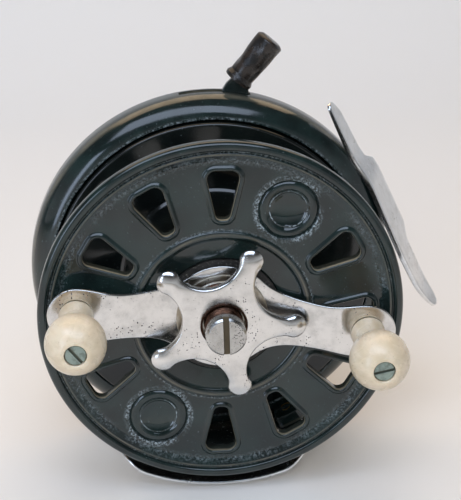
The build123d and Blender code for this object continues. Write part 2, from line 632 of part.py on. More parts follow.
def leaf_anchor():
    """Post of the leaf spring: in line with the spring's free end at the pawl's tail."""
    x, z = polar(*PAWL_PIVOT)
    dx, dz, _ = pawl_direction()
    tail_x, tail_z = x - PAWL_TAIL_L * dx, z - PAWL_TAIL_L * dz
    return tail_x - PAWL_HALF_W - CLEAR - LEAF_T / 2 - 0.2, tail_z + LEAF_L


def pawl_spring():
    """Leaf spring with a clip round its post, its free end against the pawl's tail."""
    x, z = leaf_anchor()
    y_0 = PAWL_FRONT - 0.2
    blade = slab(Pos(x, z - LEAF_L / 2) * Rectangle(LEAF_T, LEAF_L + 1.0), y_0, y_0 + LEAF_W)
    return blade + pin(x, z, 2.2, y_0, y_0 + LEAF_W) - pin(x, z, M3_R, y_0 - 1, y_0 + LEAF_W + 1)


def spring_post():
    x, z = leaf_anchor()
    y_0 = PAWL_FRONT - 0.2
    post = pin(x, z, M3_R, y_0 - 0.2, FLOOR + 2.5)
    return post + pin(x, z, M3_HEAD_R, y_0 + LEAF_W, FLOOR) + pin(x, z, M3_HEAD_R, y_0 - 1.2, y_0)


# ------------------------------------------------------------------ foot and line guard
def foot_point(h, t):
    """X and Z of a point h outwards and t along the foot."""
    return (h * cos(radians(FOOT_ANGLE)) - t * sin(radians(FOOT_ANGLE)),
            h * sin(radians(FOOT_ANGLE)) + t * cos(radians(FOOT_ANGLE)))


def foot_seat():
    """Where the blade's inner face touches the rounded rim: X and Y before turning."""
    lean = radians(FOOT_TILT)
    return (FRAME_R - FRAME_NOSE_R + FRAME_NOSE_R * cos(lean), FRAME_NOSE_AT - FRAME_NOSE_R * sin(lean))


def foot_bracket():
    lean = radians(FOOT_TILT)
    seat_x, seat_y = foot_seat()
    blade_frame = Pos(seat_x, seat_y, 0) * Rot(0, 0, -FOOT_TILT)
    # side view of the blade: x is its thickness, y its length
    curl = FOOT_DOWN - FOOT_CURL_L
    inner = ThreePointArc((FOOT_CURL, -FOOT_DOWN), (FOOT_CURL * 0.27, -curl - FOOT_CURL_L * 0.52), (0, -curl))
    outer = ThreePointArc((FOOT_T, -curl), (FOOT_T + FOOT_CURL * 0.2, -curl - FOOT_CURL_L * 0.52),
                          (FOOT_TIP_T + FOOT_CURL, -FOOT_DOWN))
    edges = [inner, Line((0, -curl), (0, FOOT_UP)), Line((0, FOOT_UP), (FOOT_TIP_T, FOOT_UP)),
             Line((FOOT_TIP_T, FOOT_UP), (FOOT_T, FOOT_UP - FOOT_CURL_L)),
             Line((FOOT_T, FOOT_UP - FOOT_CURL_L), (FOOT_T, -curl)), outer,
             Line((FOOT_TIP_T + FOOT_CURL, -FOOT_DOWN), (FOOT_CURL, -FOOT_DOWN))]
    strip = extrude(Plane.XZ * make_face(edges), 30, both=True)
    width = FOOT_NEAR + FOOT_FAR
    plan = Pos((FOOT_FAR - FOOT_NEAR) / 2, (FOOT_UP - FOOT_DOWN) / 2) * RectangleRounded(
        width, FOOT_UP + FOOT_DOWN, width * 0.46)
    blade = strip & extrude(Plane.YZ * plan, 30, both=True)
    # section across the foot: the blade, the bend and the leg on the frame's back
    blade_w = (BACK - seat_y) / cos(lean)
    bend_in = (seat_x + blade_w * sin(lean), BACK)
    out_x, out_y = seat_x + FOOT_T * cos(lean), seat_y - FOOT_T * sin(lean)
    outer_w = (BACK + FOOT_T - out_y) / cos(lean)
    bend_out = (out_x + outer_w * sin(lean), BACK + FOOT_T)
    section = outline((seat_x, seat_y), (*bend_in, FOOT_BEND_R), (FOOT_LEG_END, BACK),
                      (FOOT_LEG_END, BACK + FOOT_T), (*bend_out, FOOT_BEND_R + FOOT_T), (out_x, out_y))
    wing = extrude(section, FOOT_WING_R * 2, both=True)
    disc = Pos(-1, FOOT_WING_AT) * Circle(FOOT_WING_R)
    wing_plan = blade_frame * extrude(Plane.YZ * disc, 60, both=True)
    leg_plan = Pos((FRAME_R + 10 + FOOT_LEG_END) / 2, FOOT_WING_AT) * RectangleRounded(
        FRAME_R + 10 - FOOT_LEG_END, 2 * FOOT_LEG_HALF, FOOT_LEG_ROUND)
    above = Pos(seat_x + 50, seat_y, 0) * Box(100, 200, 200)
    leg = wing & slab(leg_plan, BACK - 20, BACK + 10)
    foot = blade_frame * blade + (wing & wing_plan & above) + leg
    for h, t in FOOT_SCREWS:
        foot -= pin(h, t, M3_R, BACK - 1, BACK + FOOT_T + 1)
    return turned(foot, FOOT_ANGLE)


def foot_screws():
    screws = []
    for i, (h, t) in enumerate(FOOT_SCREWS):
        x, z = foot_point(h, t)
        screw = slotted_screw(M3_R, BACK + FOOT_T - FLOOR - 0.5, M3_HEAD_R, M3_HEAD_T, M3_SLOT_W, 35 + 50 * i)
        screws.append(Pos(x, BACK + FOOT_T, z) * Rot(180, 0, 0) * screw)
    return screws


def guard_hole(angle, radius):
    """Radial hole through a lug or the guard at the guard screw's place."""
    return turned(Pos(GUARD_R, GUARD_SCREW_Y, 0) * Rot(0, 90, 0) * Cylinder(radius, 4 * LUG_T), angle)


def guard_screw_angles():
    return [GUARD_ANGLE - LUG_SPREAD, GUARD_ANGLE + LUG_SPREAD]


def line_guard():
    outer = GUARD_R + GUARD_T
    section = outline(
        (GUARD_R, GUARD_BACK), (GUARD_R, GUARD_FRONT + GUARD_FLARE_L, 2.5),
        (GUARD_R + GUARD_FLARE, GUARD_FRONT), (outer + GUARD_FLARE, GUARD_FRONT),
        (outer, GUARD_FRONT + GUARD_FLARE_L, 2.5), (outer, GUARD_BACK))
    strap = turned(revolve(section, axis=Axis.Y, revolution_arc=80), 40)
    length = GUARD_BACK - GUARD_FRONT
    plan = Pos((GUARD_FRONT + GUARD_BACK + GUARD_ROUND) / 2, 0) * RectangleRounded(
        length + GUARD_ROUND, 2 * GUARD_HALF, GUARD_ROUND)
    strap &= Pos(GUARD_R, 0, 0) * extrude(Plane.YZ * plan, 40, both=True)
    strap = turned(strap, GUARD_ANGLE)
    for angle in guard_screw_angles():
        strap -= guard_hole(angle, GUARD_SCREW_R)
    return strap


def guard_screws():
    length = LUG_T + GUARD_T - 0.4
    screw = slotted_screw(GUARD_SCREW_R, length, GUARD_SCREW_HEAD_R, GUARD_SCREW_HEAD_T, M3_SLOT_W, 20)
    # the head bears on the guard's outer face, the shank points at the axis
    placed = Pos(GUARD_R + GUARD_T, GUARD_SCREW_Y, 0) * Rot(0, 0, 90) * screw
    return [turned(placed, angle) for angle in guard_screw_angles()]


def guard_inserts():
    """Brass bushes moulded into the lugs, tapped for the guard's screws."""
    tube = Cylinder(GUARD_INSERT_R, LUG_T - SLIP) - Cylinder(GUARD_SCREW_R, 2 * LUG_T)
    placed = Pos(GUARD_R - (LUG_T + SLIP) / 2, GUARD_SCREW_Y, 0) * Rot(0, 90, 0) * tube
    return [turned(placed, angle) for angle in guard_screw_angles()]


# ------------------------------------------------------------------ export
def parts():
    places = knob_places()
    return {
        "rear_frame": rear_frame(),
        "spindle": spindle(),
        "spindle_washer": spindle_washer(),
        "spindle_nut": spindle_nut(),
        "centre_screw": centre_screw(),
        "foot_bracket": foot_bracket(),
        "foot_screws": foot_screws(),
        "line_guard": line_guard(),
        "guard_screws": guard_screws(),
        "guard_inserts": guard_inserts(),
        "lever_retainer": lever_retainer(),
        "pawl_pin": pawl_pin(),
        "pawl_spring": pawl_spring(),
        "spring_post": spring_post(),
        "spool_front_flange": spool_front_flange(),
        "spool_core": spool_core(),
        "spool_rear_flange": spool_rear_flange(),
        "spool_screws": spool_screws(),
        "spool_bush": spool_bush(),
        "drag_washer_front": drag_washer_front(),
        "drag_washer_rear": drag_washer_rear(),
        "crank_plate": crank_plate(),
        "drive_sleeve": drive_sleeve(),
        "ratchet_wheel": ratchet_wheel(),
        "fibre_washer": fibre_washer(),
        "spring_washer": spring_washer(),
        "knob_pins": [place * knob_pin() for place in places],
        "knob_screws": [place * knob_screw(angle) for place, angle in zip(places, KNOB_SLOT_ANGLES)],
        "thrust_washer": thrust_washer(),
        "star_wheel": star_wheel(),
        "knob_right": places[0] * knob(),
        "knob_left": places[1] * knob(),
        "lever_arm": lever_arm(),
        "lift_pin": lift_pin(),
        "lever_grip": lever_grip(),
        "check_pawl": check_pawl(),
    }


os.makedirs("parts", exist_ok=True)
for name, shape in parts().items():
    solids = shape if isinstance(shape, list) else [shape]
    bodies = [solid for item in solids for solid in item.solids()]
    export_step(bodies[0] if len(bodies) == 1 else Compound(bodies), f"parts/{name}.step")
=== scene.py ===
from math import asin, atan2, cos, degrees, hypot, pi, radians, sin

import bmesh
import bpy
from mathutils import Matrix, Vector
from mathutils.geometry import delaunay_2d_cdt


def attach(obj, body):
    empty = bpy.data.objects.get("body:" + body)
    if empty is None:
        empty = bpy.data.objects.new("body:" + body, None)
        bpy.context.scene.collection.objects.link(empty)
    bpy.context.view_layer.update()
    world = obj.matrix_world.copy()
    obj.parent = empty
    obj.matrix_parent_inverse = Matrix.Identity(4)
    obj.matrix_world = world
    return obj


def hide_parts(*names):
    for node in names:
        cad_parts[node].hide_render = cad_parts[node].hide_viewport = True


bl_info = {
    "name": "Centre-Pin Sea Reel",
    "version": (1, 0, 0),
    "blender": (4, 5, 0),
    "location": "3D View > Sidebar > Reel",
    "description": "Builds the looks of a star-drag centre-pin reel around its packed mechanism",
    "category": "Add Mesh",
}

# The frame's axis is Y, the handles face -Y and +Z is up. Angles about the axis run from +X
# towards +Z. Lengths below are in millimetres until MM turns them into metres.
MM = 0.001
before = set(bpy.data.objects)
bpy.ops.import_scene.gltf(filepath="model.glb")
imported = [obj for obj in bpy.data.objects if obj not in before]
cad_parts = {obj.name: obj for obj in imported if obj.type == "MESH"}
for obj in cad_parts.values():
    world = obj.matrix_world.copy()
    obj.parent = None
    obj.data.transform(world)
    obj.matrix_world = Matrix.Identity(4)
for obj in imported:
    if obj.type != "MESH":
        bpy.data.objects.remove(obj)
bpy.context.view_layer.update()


# ------------------------------------------------------------------ mesh helpers
def polar(radius, angle):
    """X and Z of a point given by radius and angle in degrees."""
    return radius * cos(radians(angle)), radius * sin(radians(angle))


def finish_mesh(name, vertices, faces, material, smooth_angle=35.0, turn=True):
    """Object from millimetre points: doubles merged, faces outward, soft below an angle."""
    mesh = bpy.data.meshes.new(name)
    mesh.from_pydata([Vector(point) * MM for point in vertices], [], faces)
    work = bmesh.new()
    work.from_mesh(mesh)
    bmesh.ops.remove_doubles(work, verts=work.verts, dist=0.004 * MM)
    bmesh.ops.dissolve_degenerate(work, edges=work.edges, dist=0.0005 * MM)
    if turn:
        bmesh.ops.recalc_face_normals(work, faces=work.faces)
    work.to_mesh(mesh)
    work.free()
    mesh.set_sharp_from_angle(angle=radians(smooth_angle))
    mesh.materials.append(material)
    piece = bpy.data.objects.new(name, mesh)
    bpy.context.scene.collection.objects.link(piece)
    return piece


def rounded(corners, steps=5):
    """Points of a profile whose (x, y, rounding) corners are rounded by arcs."""
    points = []
    for i, corner in enumerate(corners):
        here = Vector(corner[:2])
        if len(corner) < 3 or i in (0, len(corners) - 1):
            points.append(tuple(here))
            continue
        before = Vector(corners[i - 1][:2]) - here
        after = Vector(corners[i + 1][:2]) - here
        half = before.angle(after) / 2
        reach = corner[2] / max(sin(half) / cos(half), 1e-6)
        start = here + before.normalized() * reach
        end = here + after.normalized() * reach
        middle = here + (before.normalized() + after.normalized()).normalized() * (corner[2] / sin(half))
        a_0 = atan2(start.y - middle.y, start.x - middle.x)
        a_1 = atan2(end.y - middle.y, end.x - middle.x)
        sweep = (a_1 - a_0 + pi) % (2 * pi) - pi
        for k in range(steps + 1):
            angle = a_0 + sweep * k / steps
            points.append((middle.x + corner[2] * cos(angle), middle.y + corner[2] * sin(angle)))
    return points


def rounded_loop(corners, steps):
    """Closed outline with rounded corners, begun halfway along its last side."""
    first = tuple((a + b) / 2 for a, b in zip(corners[-1][:2], corners[0][:2]))
    return rounded([first] + corners + [first], steps)[:-1]


def lathe_data(profile, steps=144, start=0.0, closed=False):
    """Points and faces of a (radius, place) profile turned about Y."""
    vertices, faces = [], []
    count = len(profile)
    for i in range(steps):
        c, s = cos(2 * pi * i / steps + start), sin(2 * pi * i / steps + start)
        vertices += [(radius * c, place, radius * s) for radius, place in profile]
    for i in range(steps):
        j = (i + 1) % steps
        for k in range(count if closed else count - 1):
            n = (k + 1) % count
            faces.append((i * count + k, i * count + n, j * count + n, j * count + k))
    return vertices, faces


def lathe(name, corners, material, steps=144):
    """Turned piece with rounded profile corners, closed at the axis or as a ring."""
    profile = rounded(corners)
    on_axis = profile[0][0] == 0 and profile[-1][0] == 0
    vertices, faces = lathe_data(profile, steps, closed=not on_axis)
    return finish_mesh(name, vertices, faces, material)


def inward(loop, distance):
    """Closed anticlockwise loop moved to its left by a distance."""
    count = len(loop)
    moved = []
    for i, point in enumerate(loop):
        along = Vector(loop[(i + 1) % count]) - Vector(loop[i - 1])
        along.normalize()
        moved.append((point[0] - along.y * distance, point[1] + along.x * distance))
    return moved


def inside(point, loop):
    """Whether a point lies inside a closed loop."""
    x, y = point
    hit = False
    for i, (x_0, y_0) in enumerate(loop):
        x_1, y_1 = loop[i - 1]
        if (y_0 > y) != (y_1 > y) and x < (x_1 - x_0) * (y - y_0) / (y_1 - y_0) + x_0:
            hit = not hit
    return hit


def fill(loops, spacing):
    """Triangles between an outer loop and holes, over a grid of inner points."""
    points, edges = [], []
    for loop in loops:
        first = len(points)
        points += [Vector(point) for point in loop]
        edges += [(first + i, first + (i + 1) % len(loop)) for i in range(len(loop))]
    border = len(points)
    if spacing:
        xs = [point.x for point in points]
        ys = [point.y for point in points]
        near = spacing * 0.45
        for i in range(int((max(xs) - min(xs)) / spacing) + 1):
            for j in range(int((max(ys) - min(ys)) / spacing) + 1):
                spot = (min(xs) + i * spacing, min(ys) + j * spacing)
                if not inside(spot, loops[0]) or any(inside(spot, hole) for hole in loops[1:]):
                    continue
                if min((Vector(spot) - point).length for point in points[:border]) > near:
                    points.append(Vector(spot))
    flat, _, faces, _, _, _ = delaunay_2d_cdt(points, edges, [], 0, 1e-5)
    kept = []
    for face in faces:
        middle = sum((flat[i] for i in face), Vector((0, 0))) / len(face)
        if inside(middle, loops[0]) and not any(inside(middle, hole) for hole in loops[1:]):
            kept.append(tuple(face))
    return [tuple(point) for point in flat], kept


def plate(name, outline, thickness, edge, shape, material, holes=(), spacing=1.2, smooth_angle=40.0):
    """Sheet piece: an outline with rounded edges and thickness, bent by shape(u, v, depth)."""
    loops = [outline, *holes]
    vertices, faces = [], []
    quarter = [(edge * (1 - sin(radians(a))), edge * (1 - cos(radians(a)))) for a in (0, 22.5, 45, 67.5, 90)]
    rounds = quarter + [(inset, thickness - depth) for inset, depth in reversed(quarter)]
    for loop in loops:
        first, count = len(vertices), len(loop)
        for inset, depth in rounds:
            vertices += [(u, v, depth) for u, v in inward(loop, inset)]
        for k in range(len(rounds) - 1):
            for i in range(count):
                j = (i + 1) % count
                a, b = first + k * count, first + (k + 1) * count
                faces.append((a + i, a + j, b + j, b + i))
    flat, triangles = fill([inward(loop, edge) for loop in loops], spacing)
    for depth in (0, thickness):
        first = len(vertices)
        vertices += [(u, v, depth) for u, v in flat]
        faces += [tuple(first + i for i in face) for face in triangles]
    return finish_mesh(name, [shape(*point) for point in vertices], faces, material, smooth_angle)


def arc(centre, radius, start, end, steps):
    """Points along an arc in degrees."""
    spots = [start + (end - start) * i / steps for i in range(steps + 1)]
    return [(centre[0] + radius * cos(radians(a)), centre[1] + radius * sin(radians(a))) for a in spots]


def round_hole(centre, radius, steps):
    """Clockwise outline of a round hole."""
    return list(reversed(arc(centre, radius, 0, 360, steps)[:-1]))


def resample(points, spacing):
    """Evenly spaced points round a closed outline."""
    path = points + [points[0]]
    lengths = [0.0]
    for a, b in zip(path, path[1:]):
        lengths.append(lengths[-1] + hypot(b[0] - a[0], b[1] - a[1]))
    count = max(8, round(lengths[-1] / spacing))
    evenly, k = [], 0
    for i in range(count):
        target = lengths[-1] * i / count
        while k < len(path) - 2 and lengths[k + 1] < target:
            k += 1
        part = (target - lengths[k]) / max(lengths[k + 1] - lengths[k], 1e-9)
        a, b = path[k], path[k + 1]
        evenly.append((a[0] + (b[0] - a[0]) * part, a[1] + (b[1] - a[1]) * part))
    return evenly


def cut(piece, cutter):
    """Takes a cutter's volume out of a piece and leaves a plain mesh."""
    difference = piece.modifiers.new("cut", "BOOLEAN")
    difference.object = cutter
    difference.solver = "EXACT"
    bpy.context.view_layer.update()
    shaped = piece.evaluated_get(bpy.context.evaluated_depsgraph_get())
    mesh = bpy.data.meshes.new_from_object(shaped)
    piece.modifiers.clear()
    piece.data = mesh
    mesh.set_sharp_from_angle(angle=radians(35))
    bpy.data.objects.remove(cutter)


def block(centre, size, turn=0.0):
    """Cutting box about a centre, turned about Y."""
    work = bmesh.new()
    bmesh.ops.create_cube(work, size=1.0)
    spin = Matrix.Rotation(radians(-turn), 3, "Y")
    for corner in work.verts:
        corner.co = (spin @ Vector([c * s for c, s in zip(corner.co, size)]) + Vector(centre)) * MM
    mesh = bpy.data.meshes.new("cutter")
    work.to_mesh(mesh)
    work.free()
    cutter = bpy.data.objects.new("cutter", mesh)
    bpy.context.scene.collection.objects.link(cutter)
    return cutter


def about_axis(angle):
    """Placing that turns a point about the reel's axis."""
    spin = Matrix.Rotation(radians(-angle), 3, "Y")
    return lambda point: spin @ Vector(point)


def mount(piece, body, slot, *nodes):
    """Rides a finished piece on its body and lets it stand for its nodes."""
    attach(piece, body)
    if nodes:
        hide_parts(*nodes)
    return piece


# ------------------------------------------------------------------ colour and materials
def linear(code):
    """sRGB hex code as linear values with alpha."""
    parts = [int(code[i:i + 2], 16) / 255 for i in (0, 2, 4)]
    return tuple(p / 12.92 if p <= 0.04045 else ((p + 0.055) / 1.055) ** 2.4 for p in parts) + (1.0,)


def add(tree, kind, inputs=(), out=0, **settings):
    """Adds a node: settings are its properties, inputs are values or links by name, number or
    order. Gives the output asked for, or the node itself where it has none."""
    made = tree.nodes.new(kind)
    for key, value in settings.items():
        setattr(made, key, value)
    for key, value in inputs.items() if isinstance(inputs, dict) else enumerate(inputs):
        if isinstance(value, bpy.types.NodeSocket):
            tree.links.new(value, made.inputs[key])
        else:
            made.inputs[key].default_value = value
    return made.outputs[out] if made.outputs else made


# Setting of a Map Range that eases in and out
SOFT = {"interpolation_type": "SMOOTHSTEP"}


def new_material(name):
    """Empty material: itself, its tree and the place on the piece in mm."""
    material = bpy.data.materials.new(name)
    material.use_nodes = True
    tree = material.node_tree
    tree.nodes.clear()
    where = add(tree, "ShaderNodeTexCoord", out="Object")
    return material, tree, add(tree, "ShaderNodeVectorMath", {0: where, "Scale": 1 / MM}, operation="SCALE")


def ring_about(tree, place, centre, radius, width):
    """1 on a ring about a line parallel to the axis, falling to 0 a width to either side."""
    flat = add(tree, "ShaderNodeVectorMath", (place, (1.0, 0.0, 1.0), centre), operation="MULTIPLY_ADD")
    away = add(tree, "ShaderNodeVectorMath", (flat,), "Value", operation="LENGTH")
    off = add(tree, "ShaderNodeMath", (away, radius), operation="SUBTRACT")
    off = add(tree, "ShaderNodeMath", (off,), operation="ABSOLUTE")
    return add(tree, "ShaderNodeMapRange", (off, 0.0, width, 1.0, 0.0), **SOFT)


def moulded_phenolic(name, colour, deep, highlight_rings=(), residue_and_highlight_rings=(), dusty_walls=()):
    """Compression-moulded phenolic. The eye gets a deep green-black gloss, softly waved and
    clouded by handling, with pale residue caked in its corners and on given rings, where some rings
    also carry a painted highlight, a painted tan highlight along given ridges, and a matt tan
    where dust clings to the unpolished walls of its windows. Stoved enamel, on the lever's arm,
    has the same soft black gloss over bare metal, so it is made the same way."""
    material, tree, place = new_material(name)
    mottle = add(tree, "ShaderNodeTexNoise", {"Vector": place, "Scale": 1 / 9.0, "Detail": 5.0})
    grains = add(tree, "ShaderNodeTexNoise",
                 {"Vector": place, "Scale": 1 / 0.9, "Detail": 7.0, "Roughness": 0.8})
    drift = add(tree, "ShaderNodeTexNoise", {"Vector": place, "Scale": 1 / 15.0, "Detail": 3.0})
    fine = add(tree, "ShaderNodeTexNoise", {"Vector": place, "Scale": 1 / 0.5, "Detail": 3.0})
    clouds = add(tree, "ShaderNodeMapRange", (mottle, 0.32, 0.68), **SOFT)
    body = add(tree, "ShaderNodeMix", {0: clouds, 6: colour, 7: deep}, 2, data_type="RGBA")
    crust_and_highlight = add(tree, "ShaderNodeMapRange", (fine, 0.69, 0.76, 0.0, 0.3), **SOFT)
    crumbs = add(tree, "ShaderNodeMapRange", (grains, 0.46, 0.62), **SOFT)
    where = add(tree, "ShaderNodeMapRange", (drift, 0.34, 0.54), **SOFT)
    patchy = add(tree, "ShaderNodeMath", (crumbs, where), operation="MULTIPLY")
    for centre, radius, width, strength in residue_and_highlight_rings:
        ring = ring_about(tree, place, centre, radius, width)
        ring = add(tree, "ShaderNodeMath", (ring, patchy), operation="MULTIPLY")
        ring = add(tree, "ShaderNodeMath", (ring, strength), operation="MULTIPLY")
        crust_and_highlight = add(tree, "ShaderNodeMath", (crust_and_highlight, ring), operation="MAXIMUM")
    # pale bluish residue; on the edge rings of the blind buttons it is also a painted highlight
    body = add(tree, "ShaderNodeMix", {0: crust_and_highlight, 6: body, 7: linear("a3b0b8")}, 2, data_type="RGBA")
    # painted highlight: a tan line along each given ridge, broken by the mottle, stands for the light that
    # the crests catch
    for radius, width in highlight_rings:
        ring = ring_about(tree, place, (0.0, 0.0, 0.0), radius, width)
        ridge_sheen = add(tree, "ShaderNodeMapRange", (mottle, 0.35, 0.7, 0.15, 0.55), **SOFT)
        ridge_sheen = add(tree, "ShaderNodeMath", (ring, ridge_sheen), operation="MULTIPLY")
        body = add(tree, "ShaderNodeMix", {0: ridge_sheen, 6: body, 7: linear("6f6a5c")}, 2, data_type="RGBA")
    if dusty_walls:
        facing = add(tree, "ShaderNodeTexCoord", out="Normal")
        facing = add(tree, "ShaderNodeSeparateXYZ", (facing,), "Y")
        facing = add(tree, "ShaderNodeMath", (facing,), operation="ABSOLUTE")
        wall = add(tree, "ShaderNodeMapRange", (facing, 0.25, 0.6, 0.6, 0.0), **SOFT)
        band = ring_about(tree, place, (0.0, 0.0, 0.0), *dusty_walls)
        band = add(tree, "ShaderNodeMath", (band, 0.05), operation="GREATER_THAN")
        wall = add(tree, "ShaderNodeMath", (wall, band), operation="MULTIPLY")
        brim = add(tree, "ShaderNodeSeparateXYZ", (place,), "Y")
        brim = add(tree, "ShaderNodeMapRange", (brim, FACE - 0.1, FACE + 0.7, 1.0, 0.12))
        wall = add(tree, "ShaderNodeMath", (wall, brim), operation="MULTIPLY")
        body = add(tree, "ShaderNodeMix", {0: wall, 6: body, 7: linear("948a74")}, 2, data_type="RGBA")
        crust_and_highlight = add(tree, "ShaderNodeMath", (crust_and_highlight, wall), operation="MAXIMUM")
    dull = add(tree, "ShaderNodeMapRange", (drift, 0.35, 0.7, 0.07, 0.19), **SOFT)
    dull = add(tree, "ShaderNodeMath", (crust_and_highlight, 0.8, dull), operation="MULTIPLY_ADD")
    waves = add(tree, "ShaderNodeBump", {"Height": mottle, "Distance": 0.10 * MM, "Strength": 0.5})
    skin = add(tree, "ShaderNodeBump",
               {"Height": crust_and_highlight, "Distance": 0.06 * MM, "Strength": 0.6, "Normal": waves})
    shader = add(tree, "ShaderNodeBsdfPrincipled", {"Base Color": body, "Roughness": dull, "IOR": 1.6,
                                                    "Normal": skin})
    add(tree, "ShaderNodeOutputMaterial", {"Surface": shader})
    return material


def chrome_plate(name, colour, pits, pit_mm, dull, tarnish, film=0.25):
    """Worn chrome on brass or steel. The eye gets bright, slightly clouded reflections broken by
    black pits, which gather in drifts where the plating has lifted."""
    material, tree, place = new_material(name)
    cells = add(tree, "ShaderNodeTexVoronoi", {"Vector": place, "Scale": 1 / pit_mm})
    lot = add(tree, "ShaderNodeSeparateColor", (cells.node.outputs["Color"],))
    drift = add(tree, "ShaderNodeTexNoise",
                {"Vector": place, "Scale": 1 / 8.0, "Detail": 4.0, "Roughness": 0.6})
    haze = add(tree, "ShaderNodeTexNoise",
               {"Vector": place, "Scale": 1 / 5.0, "Detail": 6.0, "Roughness": 0.65})
    fine = add(tree, "ShaderNodeTexNoise",
               {"Vector": place, "Scale": 1 / 0.6, "Detail": 5.0, "Roughness": 0.7})
    gather = add(tree, "ShaderNodeMapRange", (drift, 0.46, 0.64), **SOFT)
    kept = add(tree, "ShaderNodeMapRange", (lot, 1.0 - pits, 1.08 - pits), **SOFT)
    reach = add(tree, "ShaderNodeMath", (gather, 0.30, 0.10), operation="MULTIPLY_ADD")
    reach = add(tree, "ShaderNodeMath", (reach, kept), operation="MULTIPLY")
    ragged = add(tree, "ShaderNodeMath", (fine, 0.35, cells), operation="MULTIPLY_ADD")
    depth = add(tree, "ShaderNodeMath", (reach, ragged), operation="SUBTRACT")
    pit = add(tree, "ShaderNodeMapRange", (depth, -0.20, -0.10), **SOFT)
    cloud = add(tree, "ShaderNodeMapRange", (haze, 0.35, 0.75, 0.0, film), **SOFT)
    freckle = add(tree, "ShaderNodeMapRange", (fine, 0.60, 0.72, 0.0, 0.7), **SOFT)
    freckle = add(tree, "ShaderNodeMath", (freckle, gather), operation="MULTIPLY")
    # dirt with painted shade: the floors of screw slots, marked by a point attribute, are darkened towards a
    # dull brown and lose their gloss
    dirt_and_shade = add(tree, "ShaderNodeAttribute", out="Fac", attribute_name="dirt_and_shade")
    tone = colour
    for layer, shade in ((cloud, tarnish), (freckle, tarnish), (pit, linear("1b1814")),
                         (dirt_and_shade, linear("5b5140"))):
        tone = add(tree, "ShaderNodeMix", {0: layer, 6: tone, 7: shade}, 2, data_type="RGBA")
    bare = add(tree, "ShaderNodeMath", (pit, dirt_and_shade), operation="MAXIMUM")
    metal = add(tree, "ShaderNodeMapRange", (bare, 0.0, 1.0, 1.0, 0.15))
    rough = add(tree, "ShaderNodeMapRange", (haze, 0.3, 0.8, dull, dull + 0.14), **SOFT)
    rough = add(tree, "ShaderNodeMath", (bare, 0.5, rough), operation="MULTIPLY_ADD")
    level = add(tree, "ShaderNodeMath", (haze, 0.35), operation="MULTIPLY")
    level = add(tree, "ShaderNodeMath", (level, pit), operation="SUBTRACT")
    skin = add(tree, "ShaderNodeBump", {"Height": level, "Distance": 0.07 * MM, "Strength": 0.5})
    shader = add(tree, "ShaderNodeBsdfPrincipled", {"Base Color": tone, "Metallic": metal, "Roughness": rough,
                                                    "Normal": skin})
    add(tree, "ShaderNodeOutputMaterial", {"Surface": shader})
    return material


def cast_ivory_resin(name, colour):
    """Cast and turned celluloid in an ivory shade. The eye gets a warm, faintly see-through white
    with cloudy streaks, amber where hands and oil have been, under a soft polish."""
    material, tree, place = new_material(name)
    grain = add(tree, "ShaderNodeVectorMath", (place, (1.0, 0.35, 1.6)), operation="MULTIPLY")
    streaks = add(tree, "ShaderNodeTexNoise",
                  {"Vector": grain, "Scale": 1 / 4.5, "Detail": 5.0, "Roughness": 0.6})
    clouds = add(tree, "ShaderNodeTexNoise", {"Vector": place, "Scale": 1 / 7.0, "Detail": 3.0})
    dimples = add(tree, "ShaderNodeTexNoise", {"Vector": place, "Scale": 1 / 2.2, "Detail": 5.0})
    dots = add(tree, "ShaderNodeTexNoise", {"Vector": place, "Scale": 1 / 0.8, "Detail": 3.0})
    streaks = add(tree, "ShaderNodeMapRange", (streaks, 0.36, 0.66, 0.0, 0.6), **SOFT)
    tone = add(tree, "ShaderNodeMix", {0: streaks, 6: colour, 7: linear("c3b498")}, 2, data_type="RGBA")
    along = add(tree, "ShaderNodeSeparateXYZ", (place,), "Y")
    neck = add(tree, "ShaderNodeMapRange", (along, -31.0, -22.0, 0.2, 1.0), **SOFT)
    stain = add(tree, "ShaderNodeMapRange", (clouds, 0.42, 0.66, 0.0, 0.4), **SOFT)
    stain = add(tree, "ShaderNodeMath", (stain, neck), operation="MULTIPLY")
    tone = add(tree, "ShaderNodeMix", {0: stain, 6: tone, 7: linear("b49a72")}, 2, data_type="RGBA")
    dots = add(tree, "ShaderNodeMapRange", (dots, 0.66, 0.74, 0.0, 0.35), **SOFT)
    tone = add(tree, "ShaderNodeMix", {0: dots, 6: tone, 7: linear("7a5a3a")}, 2, data_type="RGBA")
    polish = add(tree, "ShaderNodeMapRange", (clouds, 0.3, 0.7, 0.2, 0.36), **SOFT)
    skin = add(tree, "ShaderNodeBump", {"Height": dimples, "Distance": 0.06 * MM, "Strength": 0.5})
    shader = add(tree, "ShaderNodeBsdfPrincipled", {
        "Base Color": tone, "Roughness": polish, "IOR": 1.5, "Subsurface Weight": 0.25,
        "Subsurface Radius": (1.0, 0.7, 0.5), "Subsurface Scale": 1.5 * MM, "Coat Weight": 0.2,
        "Coat Roughness": 0.12, "Normal": skin})
    add(tree, "ShaderNodeOutputMaterial", {"Surface": shader})
    return material


